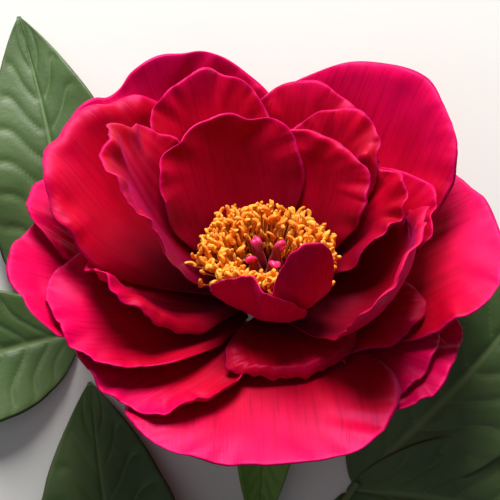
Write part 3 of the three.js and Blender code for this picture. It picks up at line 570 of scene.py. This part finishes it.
class Paint:
    """One material: nodes are added by type, settings and then socket values or wires."""

    def __init__(self, name):
        self.material = bpy.data.materials.new(name)
        self.material.use_nodes = True
        self.tree = self.material.node_tree
        self.shader = self.tree.nodes["Principled BSDF"]
        self.output = self.tree.nodes["Material Output"]

    def node(self, kind, settings=None, *values, out=0):
        node = self.tree.nodes.new(kind)
        for key, value in (settings or {}).items():
            setattr(node, key, value)
        for socket, value in zip([s for s in node.inputs if s.enabled], values):
            self.put(socket, value)
        return Wire(self, [s for s in node.outputs if s.enabled][out])

    def put(self, socket, value):
        if isinstance(value, Wire):
            self.tree.links.new(value.socket, socket)
        elif value is not None:
            socket.default_value = value

    def growth(self, name="growth"):
        """The piece's own flat map: how far across and how far along."""
        uv = self.node("ShaderNodeUVMap", {"uv_map": name})
        split = self.node("ShaderNodeSeparateXYZ", None, uv).socket.node
        return Wire(self, split.outputs[0]), Wire(self, split.outputs[1])

    def point(self, x, y, z=0.0):
        return self.node("ShaderNodeCombineXYZ", None, x, y, z)

    def place(self):
        return Wire(self, self.tree.nodes.new("ShaderNodeTexCoord").outputs["Object"])

    def noise(self, at, scale, detail=2.0, roughness=0.5):
        node = self.tree.nodes.new("ShaderNodeTexNoise")
        values = {"Vector": at, "Scale": scale, "Detail": detail, "Roughness": roughness}
        for name, value in values.items():
            self.put(node.inputs[name], value)
        return Wire(self, node.outputs[0])

    def blend(self, share, low, high):
        """A colour between two others."""
        node = self.tree.nodes.new("ShaderNodeMix")
        node.data_type = "RGBA"
        self.put(node.inputs["Factor"], share)
        for socket, value in ((node.inputs[6], low), (node.inputs[7], high)):
            self.put(socket, value if isinstance(value, Wire) else (*value, 1))
        return Wire(self, node.outputs[2])

    def relief(self, height, depth):
        """A bump of that depth in millimetres."""
        node = self.tree.nodes.new("ShaderNodeBump")
        node.inputs["Distance"].default_value = depth * MM
        self.put(node.inputs["Height"], height)
        self.tree.links.new(node.outputs[0], self.shader.inputs["Normal"])

    def let_light_through(self, share, colour):
        """Mixes in light that comes through from the other side."""
        back = self.node("ShaderNodeBsdfTranslucent", None, (*colour, 1))
        both = self.node("ShaderNodeMixShader", None, share, Wire(self, self.shader.outputs[0]), back)
        self.tree.links.new(both.socket, self.output.inputs["Surface"])


# %% [markdown]
# ## The petals' finish
#
# The pigment is a deep crimson anthocyanin. Light that skims a petal once looks magenta;
# light that has bounced between petals several times looks blood red. On top of that, shade
# is painted into the colour towards each petal's claw, which makes the cup darker, most of all
# on the inner petals. Fine veins fan out from the claw. The tips are pinker, partly the
# pigment and partly a painted highlight where the open blades catch the light, and the margin
# is lightened by a painted highlight. A nap of tiny cone-shaped cells gives the velvety sheen.

# %% Petal finish
def petal_finish(name, shade_until, tip_pink_from, tip_pink_strength):
    paint = Paint(name)
    across, along = paint.growth()
    margin, inner_face = paint.growth("rim")
    veins = paint.noise(paint.point(across * 26, along * 2.2), 1.0, 3, 0.6)
    threads = paint.noise(paint.point(across * 90, along * 5), 1.0, 2, 0.5)
    mottle = paint.noise(paint.place(), 60, 3, 0.5)
    uneven = along + (mottle - 0.5) * 0.25
    body = paint.blend(mottle.ramp(0.3, 0.7), (0.46, 0.0, 0.010), (0.60, 0.0, 0.022))
    # Pinker towards the tip: partly the pigment, partly a painted highlight for the light that the open
    # outer blades catch.
    tip_pink_and_light = paint.blend(uneven.ramp(tip_pink_from, 1.05) * tip_pink_strength, body, (0.84, 0.0, 0.12))
    veined = paint.blend(veins.ramp(0.45, 0.75) * 0.5, tip_pink_and_light, (0.26, 0.0, 0.010))
    # Painted shade: towards the claw the colour darkens to near black, standing in for the shade deep
    # in the cup.
    painted_base_shade = paint.blend(1 - uneven.ramp(0.05, shade_until), veined, (0.085, 0.0, 0.003))
    under = paint.blend(veins.ramp(0.4, 0.8) * 0.5, (0.62, 0.001, 0.055), (0.42, 0.0, 0.02))
    faces = paint.blend(inner_face, under, painted_base_shade)
    # Painted highlight: a pale pink band along the margin, as where light catches the thin rim.
    colour = paint.blend(margin.ramp(0.93, 1.0) * 0.35, faces, (0.85, 0.006, 0.20))
    paint.put(paint.shader.inputs["Base Color"], colour)
    paint.shader.inputs["Roughness"].default_value = 0.44
    paint.shader.inputs["Specular IOR Level"].default_value = 0.3
    paint.shader.inputs["Specular Tint"].default_value = (1.0, 0.15, 0.6, 1)
    paint.shader.inputs["Sheen Weight"].default_value = 0.25
    paint.shader.inputs["Sheen Roughness"].default_value = 0.35
    paint.shader.inputs["Sheen Tint"].default_value = (1.0, 0.05, 0.5, 1)
    paint.relief(veins * 0.7 + threads * 0.3, 0.16)
    paint.let_light_through(0.15, (0.65, 0.0, 0.03))
    return paint.material


# Per whorl: how far up the petal the painted shade at the claw reaches, then where and how strongly the
# tip turns pinker (partly pigment, partly painted highlight).
PETAL_FINISHES = {
    "inner": petal_finish("inner petal", 1.1, 0.95, 0.3),
    "middle": petal_finish("middle petal", 0.85, 0.8, 0.4),
    "outer": petal_finish("outer petal", 0.6, 0.55, 0.7),
}
CELLS = 56
PETAL_THICKNESS = 0.42
for spec, move in zip(PETALS, moves):
    points, flat, share = petal_points(spec, CELLS, fine=True)
    points = on_table(place_bloom(points + spread(move, CELLS)), PETAL_THICKNESS / 2)
    fan = flat["side"] / np.maximum(flat["narrow"], 0.1)
    vertices, faces, rim = sheet_arrays(points, PETAL_THICKNESS)
    maps = np.stack([fan, share], axis=-1)
    margin = flat["to_margin"] * smooth_step(0.1, 0.5, share)
    outer_face = np.stack([margin, 0 * margin], axis=-1)
    inner_face = np.stack([margin, 0 * margin + 1], axis=-1)
    piece = finish_mesh(spec["name"] + "_fine", vertices + MODEL_SHIFT, faces,
                        {"growth": np.concatenate([maps.reshape(-1, 2), maps[~rim]]),
                         "rim": np.concatenate([outer_face.reshape(-1, 2), inner_face[~rim]])},
                        PETAL_FINISHES[spec["whorl"]])
    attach(piece, "root")
    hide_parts(spec["name"])

# %% [markdown]
# ## The stamens
#
# Hundreds of stamens crowd in a ring around the carpels. Each is a thin filament with a
# long anther, which splits along its two lobes as it sheds pollen and curls as it dries.
# They are grown one by one from the receptacle and lean outward, and their anthers make
# the crinkled golden top of the ring. The ring is cut in the same sectors as the solid
# model's bunches.

# %% Stamens
TUFTS = 8
STAMENS_IN_TUFT = 62
MARK_STEP = 4                   # room in the flat map between one stamen and the next
ANTHER_MARK = 2                 # anthers are told from filaments by this much
RING_INNER = 6.8                # the ring of anthers begins here
RING_DEPTH = 11.4
FRONT = 268                     # the front petals stand close here and crowd the ring
FRONT_CROWDING = 3.8
FOOT_HEIGHT = 5.4
RING_TOP = ((6.6, 13.0), (8.4, 17.4), (10.2, 19.6), (12.8, 20.8), (15.6, 20.4), (17.6, 18.6),
            (18.4, 16.8))
ANTHER_STEPS = 11


def stamen_finish():
    paint = Paint("stamen")
    turn, along = paint.growth()
    number = (turn / MARK_STEP).floor()
    draw = paint.node("ShaderNodeTexWhiteNoise", {"noise_dimensions": "1D"}, number)
    is_anther = along.ramp(1.4, 1.6)
    grain = paint.noise(paint.place(), 900, 2, 0.6)
    gold = paint.blend(draw, (1.0, 0.25, 0.008), (1.0, 0.52, 0.04))
    dusty = paint.blend(grain.ramp(0.4, 0.75) * 0.55, gold, (1.0, 0.74, 0.20))
    thread = paint.blend(along.ramp(0.3, 0.9), (0.42, 0.01, 0.02), (0.92, 0.36, 0.04))
    colour = paint.blend(is_anther, thread, dusty)
    paint.put(paint.shader.inputs["Base Color"], colour)
    paint.shader.inputs["Roughness"].default_value = 0.62
    paint.shader.inputs["Specular IOR Level"].default_value = 0.3
    paint.relief(grain, 0.12)
    paint.let_light_through(0.25, (1.0, 0.50, 0.05))
    return paint.material


def lobed(turn, along):
    twist = turn + 2.2 * along
    taper = np.sin(math.pi * np.clip(0.06 + 0.9 * along, 0, 1)) ** 0.45
    return taper * (1 + 0.34 * np.cos(2 * twist) + 0.10 * np.sin(3 * twist + 9 * along))


def turn_about(vector, axis, angle):
    axis = axis / np.linalg.norm(axis)
    return (vector * math.cos(angle) + np.cross(axis, vector) * math.sin(angle)
            + axis * (axis @ vector) * (1 - math.cos(angle)))


def filament(out, radius, height, dice):
    """A thin thread that leaves the receptacle, leans outward and ends in an anther."""
    foot = out * dice.uniform(5.6, 6.4) + np.array([0, 0, FOOT_HEIGHT])
    tip = out * radius + np.array([dice.normal(0, 0.5), dice.normal(0, 0.5), height - 1.6])
    elbow = foot * 0.45 + tip * 0.55 + out * -0.6 + np.array([0, 0, 1.2])
    at = np.linspace(0, 1, 6)[:, None]
    return (1 - at) ** 2 * foot + 2 * at * (1 - at) * elbow + at ** 2 * tip


def anther(out, tip, freedom, dice):
    """A short arc that starts just below the filament's tip and curls as it goes."""
    way = out * dice.uniform(-0.5, freedom) + np.array([0, 0, 1]) + dice.normal(0, 0.45, 3)
    way /= np.linalg.norm(way)
    hinge = np.cross(way, dice.normal(0, 1, 3))
    length = dice.uniform(3.2, 4.8)
    curl = math.radians(dice.uniform(50, 200)) * dice.choice([-1, 1])
    point = tip - way * 0.8
    path = [point]
    for s in range(ANTHER_STEPS - 1):
        bent = turn_about(way, hinge, curl * (s / ANTHER_STEPS - 0.35))
        point = point + bent * length / ANTHER_STEPS
        path.append(point)
    return path


def stamen_tubes(tuft, dice):
    tubes = []
    for k in range(STAMENS_IN_TUFT):
        compass = 2 * math.pi * (tuft + (k + dice.random()) / STAMENS_IN_TUFT) / TUFTS
        out = np.array([math.cos(compass), math.sin(compass), 0])
        front = abs((math.degrees(compass) - FRONT + 180) % 360 - 180)
        reach = RING_DEPTH - FRONT_CROWDING * (1 - float(smooth_step(25, 60, front)))
        radius = RING_INNER + reach * dice.random() ** 0.8
        top = np.interp(radius, [p[0] for p in RING_TOP], [p[1] for p in RING_TOP])
        height = top - 3.2 * dice.random() ** 1.6
        number = MARK_STEP * (tuft * 64 + k)
        line = filament(out, radius, height, dice)
        tubes.append(dict(path=line, radii=np.linspace(0.24, 0.2, 6), sides=5, mark=(number, 0)))
        path = anther(out, line[-1], 0.9 if front > 60 else 0.0, dice)
        girth = np.full(ANTHER_STEPS, dice.uniform(0.52, 0.68))
        tubes.append(dict(path=path, radii=girth, sides=8, bulge=lobed, mark=(number, ANTHER_MARK)))
    return tubes


def place_tubes(tubes):
    return [{**tube, "path": place_bloom(np.asarray(tube["path"], float))} for tube in tubes]


stamen_gold = stamen_finish()
dice = np.random.default_rng(7)
for tuft in range(TUFTS):
    name = "stamens_" + str(tuft + 1)
    piece = tubes_piece(name + "_fine", place_tubes(stamen_tubes(tuft, dice)), stamen_gold)
    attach(piece, "root")
    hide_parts(name)
print(TUFTS * STAMENS_IN_TUFT, "stamens")

# %% [markdown]
# ## The carpels
#
# In the middle stand a few flask-shaped carpels, felted with short hairs. Each ends in a
# crest, the stigma, that curls outward and is a bright magenta.

# %% Carpels and receptacle
CARPELS = 4
CARPEL_LINE = ((3.0, 5.2, 0.8), (3.0, 7.0, 1.5), (3.1, 9.5, 1.8), (3.2, 12.0, 1.6), (3.3, 14.2, 1.1),
               (3.8, 16.0, 0.9), (4.9, 17.0, 0.9), (6.0, 16.6, 0.6))


def carpel_finish():
    paint = Paint("carpel")
    _, along = paint.growth()
    felt = paint.noise(paint.place(), 1500, 2, 0.6)
    body = paint.blend(along.ramp(0.1, 0.55), (0.10, 0.012, 0.008), (0.24, 0.002, 0.012))
    colour = paint.blend(along.ramp(0.72, 0.84), body, (0.72, 0.006, 0.13))
    paint.put(paint.shader.inputs["Base Color"], colour)
    paint.shader.inputs["Roughness"].default_value = 0.5
    paint.shader.inputs["Sheen Weight"].default_value = 0.15
    paint.shader.inputs["Sheen Tint"].default_value = (1.0, 0.3, 0.4, 1)
    paint.relief(felt, 0.08)
    return paint.material


def crest(turn, along):
    flat = smooth_step(0.62, 0.8, along)
    return 1 + flat * (0.45 * np.cos(2 * turn) + 0.10 * np.sin(9 * along * math.pi + 2 * turn))


carpel_red = carpel_finish()
for number in range(CARPELS):
    compass = 2 * math.pi * (number + 0.35) / CARPELS
    at = np.linspace(0, 1, 34)
    radius = through([p[0] for p in CARPEL_LINE], at)
    height = through([p[1] for p in CARPEL_LINE], at)
    girth = 1.2 * through([p[2] for p in CARPEL_LINE], at)
    path = np.stack([radius * math.cos(compass), radius * math.sin(compass), height], axis=1)
    name = "carpel_" + str(number + 1)
    tubes = place_tubes([dict(path=path, radii=girth, sides=20, bulge=crest)])
    piece = tubes_piece(name + "_fine", tubes, carpel_red)
    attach(piece, "root")
    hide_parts(name)

RECEPTACLE = ((0.05, -8.4), (2.9, -8.3), (4.4, -6.4), (6.4, -4.4), (7.5, -2.6), (7.5, -1.0),
              (6.6, 0.6), (4.8, 2.0), (4.0, 3.8), (2.6, 4.6), (0.05, 4.8))


def green_finish(name, dark, light, roughness, streak=30, see_through=0.1):
    paint = Paint(name)
    turn, along = paint.growth()
    fibres = paint.noise(paint.point(turn * streak, along * 4), 1.0, 3, 0.6)
    patches = paint.noise(paint.place(), 45, 3, 0.55)
    body = paint.blend(patches.ramp(0.3, 0.7), dark, light)
    colour = paint.blend(fibres.ramp(0.5, 0.8) * 0.35, body, tuple(c * 0.55 for c in dark))
    paint.put(paint.shader.inputs["Base Color"], colour)
    paint.shader.inputs["Roughness"].default_value = roughness
    paint.relief(fibres, 0.12)
    paint.let_light_through(see_through, light)
    return paint.material


at = np.linspace(0, 1, 40)
path = np.stack([0 * at, 0 * at, through([p[1] for p in RECEPTACLE], at)], axis=1)
path[:, 2] = np.maximum.accumulate(path[:, 2] + 0.001 * np.arange(40))
radii = through([p[0] for p in RECEPTACLE], at)
receptacle = tubes_piece("receptacle_fine", place_tubes([dict(path=path, radii=radii, sides=32)]),
                         green_finish("receptacle", (0.09, 0.11, 0.02), (0.16, 0.18, 0.04), 0.6))
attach(receptacle, "root")
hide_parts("receptacle")

# %% [markdown]
# ## Sepals
#
# Under the petals sit a few short, thick green sepals that held the bud shut and have
# folded back.

# %% Sepals
SEPALS = 5
SEPAL_THICKNESS = 0.8


sepal_green = green_finish("sepal", (0.10, 0.19, 0.035), (0.20, 0.30, 0.07), 0.5, streak=9)
for number in range(SEPALS):
    compass = 2 * math.pi * (number + 0.1) / SEPALS
    length = 21 + 3 * math.sin(2.4 * number)
    along, side = sheet_maps(36, 24)
    half = 6.0 * (0.35 + 0.65 * np.sin(math.pi * (0.12 + 0.8 * along)))
    reach = 6.4 + length * along
    height = -4.6 - 7 * np.sin(1.3 * along) + 2.2 * side ** 2 * along
    height = height + 0.3 * waves(along * 5 + side, number, 3)
    across = half * side * (1 - 0.4 * along ** 2)
    points = np.stack([reach * math.cos(compass) + across * math.sin(compass),
                       reach * math.sin(compass) - across * math.cos(compass), height], axis=-1)
    name = "sepal_" + str(number + 1)
    laid = on_table(place_bloom(points), 0.6)
    piece = sheet_piece(name + "_fine", laid, side, along, SEPAL_THICKNESS, sepal_green)
    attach(piece, "root")
    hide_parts(name)

# %% [markdown]
# ## Stem
#
# The stem is smooth and faintly ribbed, green flushed with red. It bends where the heavy
# head pulled it over, then lies along the table to its cut end.

# %% Stem
STEM_RADIUS = 2.8
STEM_LENGTH = 138


def stem_line(count=60):
    top = place_bloom(np.array([0.0, 0.0, -8.8]))
    tilt = math.pi / 2 - BLOOM_LEAN
    bend_radius = (top[2] - STEM_RADIUS) / (1 - math.cos(tilt))
    turn = tilt * (1 - np.linspace(0, 1, count // 2))
    y = top[1] - bend_radius * (math.sin(tilt) - np.sin(turn))
    z = STEM_RADIUS + bend_radius * (1 - np.cos(turn))
    y_flat = np.linspace(y[-1], -STEM_LENGTH, count // 2 + 1)[1:]
    y = np.concatenate([y, y_flat])
    z = np.concatenate([z, np.full(len(y_flat), STEM_RADIUS)])
    return np.stack([-15 * (y / STEM_LENGTH) ** 2, y, z], axis=1)


def ribbed(turn, along):
    return 1 + 0.035 * np.cos(5 * turn + 2 * along) + 0 * along


def stem_finish():
    paint = Paint("stem")
    turn, along = paint.growth()
    fibres = paint.noise(paint.point(turn * 40, along * 12), 1.0, 3, 0.6)
    blush = paint.noise(paint.point(turn * 3, along * 5), 1.0, 2, 0.5)
    green = paint.blend(fibres.ramp(0.35, 0.7), (0.13, 0.21, 0.05), (0.21, 0.30, 0.08))
    colour = paint.blend(blush.ramp(0.5, 0.75) * 0.6, green, (0.26, 0.06, 0.035))
    paint.put(paint.shader.inputs["Base Color"], colour)
    paint.shader.inputs["Roughness"].default_value = 0.42
    paint.relief(fibres, 0.1)
    return paint.material


line = stem_line()
radii = np.full(len(line), STEM_RADIUS - 0.1)
stem = tubes_piece("stem_fine", [dict(path=line, radii=radii, sides=28, bulge=ribbed)], stem_finish())
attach(stem, "root")
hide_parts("stem")

# %% [markdown]
# ## Leaves
#
# A peony leaf is divided: a stalk, then leaflets, each a pointed oval with a deep midrib
# and side veins that curve forward towards the margin. The blade domes up a little
# between its sunken veins, and its margin ripples. The leaves lie spread on the table.

# %% Leaflets
LEAF_THICKNESS = 0.5
VEIN_PAIRS = 8
STALK_STEPS = 40
STALK_RADIUS = 1.3
STALK_END_RADIUS = 0.9


def vein_relief(along, side):
    """How sunken each point is: 1 in a vein, 0 between, for the midrib and side veins."""
    midrib_width = 0.10 * (1.1 - along)
    midrib = np.exp(-(side / np.maximum(midrib_width, 0.02)) ** 2)
    reach = np.abs(side)
    place = (along - 0.20 * reach ** 0.8 + 0.02 * reach * np.sin(9 * reach)) * VEIN_PAIRS * 1.25
    between = np.abs(place - np.round(place)) * 2
    sides = np.exp(-(between / 0.26) ** 2) * smooth_step(0.02, 0.1, reach)
    sides = sides * (1 - 0.6 * smooth_step(0.7, 1, reach))
    sides = sides * smooth_step(0.03, 0.12, along) * (1 - smooth_step(0.93, 1, along))
    return np.maximum(midrib, 0.75 * sides)


def leaflet_points(base, tip, width, bend, lift, seed, rows=96, columns=40):
    along, side = sheet_maps(rows, columns)
    start, end = np.array(base, float), np.array(tip, float)
    length = np.linalg.norm(end - start)
    ahead = (end - start) / length
    right = np.array([ahead[1], -ahead[0]])
    half = np.maximum(width / 2 * np.sin(math.pi * along ** 0.8) ** 0.85, 0.5)
    half = half * (1 + 0.02 * waves(along * 14, seed + 7, 4))
    x = half * side + bend * np.sin(math.pi * along)
    flat = start + ahead * (length * along)[..., None] + right * x[..., None]
    arch = np.sin(math.pi * along)
    fold = 1.6 * side ** 2 * arch
    wave = 0.9 * np.abs(side) * (1 + waves(along * 9 + side, seed, 3)) * arch
    relief = 0.75 * (1 - vein_relief(along, side)) * arch ** 0.5
    height = lift * arch ** 2 + fold + wave + relief
    return np.concatenate([flat, (LEAF_THICKNESS / 2 + height)[..., None]], axis=-1), along, side


def leaf_finish(name, dark, light, vein):
    paint = Paint(name)
    side, along = paint.growth()
    relief, _ = paint.growth("rim")
    patches = paint.noise(paint.place(), 40, 3, 0.55)
    grain = paint.noise(paint.place(), 700, 2, 0.6)
    body = paint.blend(patches.ramp(0.3, 0.7), dark, light)
    veined = paint.blend(relief.ramp(0.45, 0.95) * 0.75, body, vein)
    edge = side.size().ramp(0.93, 1.0) * 0.35
    colour = paint.blend(edge, veined, (0.10, 0.045, 0.02))
    paint.put(paint.shader.inputs["Base Color"], colour)
    paint.put(paint.shader.inputs["Roughness"], 0.40 + 0.16 * patches)
    paint.shader.inputs["Specular IOR Level"].default_value = 0.5
    paint.shader.inputs["Sheen Weight"].default_value = 0.12
    paint.relief(grain, 0.07)
    paint.let_light_through(0.14, (0.14, 0.26, 0.03))
    return paint.material


LEAVES = {
    "leaf_left": dict(
        stalk=((-5.4, -42), (-22, -32), (-40, -18), (-54, -8)),
        leaflets=(dict(base=(-53, -9), tip=(-70, 82), width=40, bend=3, lift=5, seed=2),
                  dict(base=(-52, -8), tip=(-114, -32), width=38, bend=3, lift=4, seed=3),
                  dict(base=(-50, -11), tip=(-16, 24), width=22, bend=-1, lift=2, seed=4))),
    "leaf_right": dict(
        stalk=((0.6, -74), (12, -66), (20, -58), (26, -50)),
        leaflets=(dict(base=(25, -51), tip=(94, 30), width=48, bend=4, lift=6, seed=5),
                  dict(base=(23, -52), tip=(113, -72), width=40, bend=-4, lift=4, seed=6),
                  dict(base=(22, -53), tip=(38, -132), width=34, bend=2, lift=3, seed=7))),
    "leaf_lower_left": dict(
        stalk=((-14.6, -122), (-24, -116), (-32, -108)),
        leaflets=(dict(base=(-31, -109), tip=(-49, -22), width=43, bend=-2, lift=6, seed=8),
                  dict(base=(-30, -108), tip=(-106, -74), width=36, bend=3, lift=4, seed=9),
                  dict(base=(-29, -110), tip=(-92, -134), width=30, bend=-2, lift=3, seed=10))),
}


def joined_piece(name, parts, material):
    """One mesh from several (vertices, faces, growth map, rim map) parts."""
    vertices, faces, growth, rims = [], [], [], []
    count = 0
    for v, f, g, r in parts:
        vertices.append(v)
        faces += [[n + count for n in face] for face in f]
        growth.append(g)
        rims.append(r)
        count += len(v)
    maps = {"growth": np.concatenate(growth), "rim": np.concatenate(rims)}
    return finish_mesh(name, np.concatenate(vertices) + MODEL_SHIFT, faces, maps, material)


def blade_part(points, along, side, relief, thickness):
    vertices, faces, rim = sheet_arrays(points, thickness)
    growth = np.stack([side, along], axis=-1)
    second = np.stack([relief, along], axis=-1)
    return (vertices, faces, np.concatenate([growth.reshape(-1, 2), growth[~rim]]),
            np.concatenate([second.reshape(-1, 2), second[~rim]]))


leaf_green = leaf_finish("leaf", (0.042, 0.094, 0.020), (0.085, 0.150, 0.042), (0.17, 0.25, 0.09))
for name, leaf in LEAVES.items():
    parts = []
    for leaflet in leaf["leaflets"]:
        points, along, side = leaflet_points(**leaflet)
        parts.append(blade_part(points, along, side, vein_relief(along, side), LEAF_THICKNESS))
    keys = np.array(leaf["stalk"], float)
    x, y = (through(keys[:, k], np.linspace(0, 1, STALK_STEPS)) for k in range(2))
    path = np.stack([x, y, np.full(STALK_STEPS, STALK_RADIUS)], axis=1)
    v, f, m = tube_arrays(path, np.linspace(STALK_RADIUS, STALK_END_RADIUS, STALK_STEPS), 14)
    parts.append((v, f, m * np.array([0, 1]), np.stack([np.ones(len(v)), m[:, 1]], axis=1)))
    piece = joined_piece(name + "_fine", parts, leaf_green)
    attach(piece, "root")
    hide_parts(name)

# %% [markdown]
# Just below the bloom hangs one undivided small leaf, the bract. It is younger and
# brighter than the others.

# %% Bract
along, side = sheet_maps(70, 30)
half = np.maximum(8 * np.sin(math.pi * (0.06 + 0.92 * along ** 0.8)), 0.8)
relief = vein_relief(along, side)
fold = 1.4 * side ** 2 * np.sin(math.pi * along)
height = 16.5 - 9 * np.sin(math.pi / 2 * along) + fold - 0.5 * relief
bract_points = np.stack([2 - 4 * along - half * side, -19 - 46 * along, height], axis=-1)
bract = joined_piece("bract_leaf_fine", [blade_part(bract_points, along, side, relief, 0.5)],
                     leaf_finish("bract", (0.10, 0.24, 0.02), (0.16, 0.33, 0.03), (0.26, 0.42, 0.10)))
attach(bract, "root")
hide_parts("bract_leaf")

# %% [markdown]
# ## Stage, camera and light
#
# The flower lies on a plain pale table top. Most light comes from one soft window-sized
# lamp low behind the bloom, so that the front petals shine and the inside of the cup
# stays deep, with a weak fill and a faint sky. The camera looks down on it.

# %% Stage
def stage_material(name, colour):
    paint = Paint(name)
    paint.shader.inputs["Base Color"].default_value = (*colour, 1)
    paint.shader.inputs["Roughness"].default_value = 0.7
    return paint.material


bpy.ops.mesh.primitive_plane_add(size=3, location=(0, 0, 0))
floor = bpy.context.object
floor.name = "table_top"
floor.data.materials.append(stage_material("pale table", (0.80, 0.80, 0.78)))

# %% Camera and light
VIEW_ELEVATION = math.radians(85)
DISTANCE = 0.5
VIEW_WIDTH = 0.1325             # metres in view at the bloom
SENSOR = 36
heart = place_bloom(np.array([-4.0, 6.0, 12.0])) + MODEL_SHIFT
target = Vector((heart * MM).tolist())
towards = Vector((0, -math.cos(VIEW_ELEVATION), math.sin(VIEW_ELEVATION)))
lens = bpy.data.cameras.new("camera")
lens.sensor_width = SENSOR
lens.lens = SENSOR * DISTANCE / VIEW_WIDTH
camera = bpy.data.objects.new("camera", lens)
bpy.context.scene.collection.objects.link(camera)
camera.location = target + towards * DISTANCE
camera.rotation_euler = (math.pi / 2 - VIEW_ELEVATION, 0, 0)
bpy.context.scene.camera = camera


def soft_light(name, azimuth, elevation, size, power, colour):
    light = bpy.data.lights.new(name, "AREA")
    light.energy = power
    light.size = size
    light.color = colour
    lamp = bpy.data.objects.new(name, light)
    bpy.context.scene.collection.objects.link(lamp)
    a, e = math.radians(azimuth), math.radians(elevation)
    way = Vector((math.cos(e) * math.cos(a), math.cos(e) * math.sin(a), math.sin(e)))
    lamp.location = target + way
    lamp.rotation_euler = (-way).to_track_quat("-Z", "Y").to_euler()


soft_light("key", 94, 25, 0.5, 23, (1.0, 0.98, 0.95))
soft_light("fill", 215, 50, 1.4, 1.5, (0.92, 0.96, 1.0))
world = bpy.data.worlds.new("studio")
world.use_nodes = True
world.node_tree.nodes["Background"].inputs[0].default_value = (0.9, 0.95, 1.0, 1)
world.node_tree.nodes["Background"].inputs[1].default_value = 0.09
bpy.context.scene.world = world
bpy.context.scene.view_settings.view_transform = "Standard"
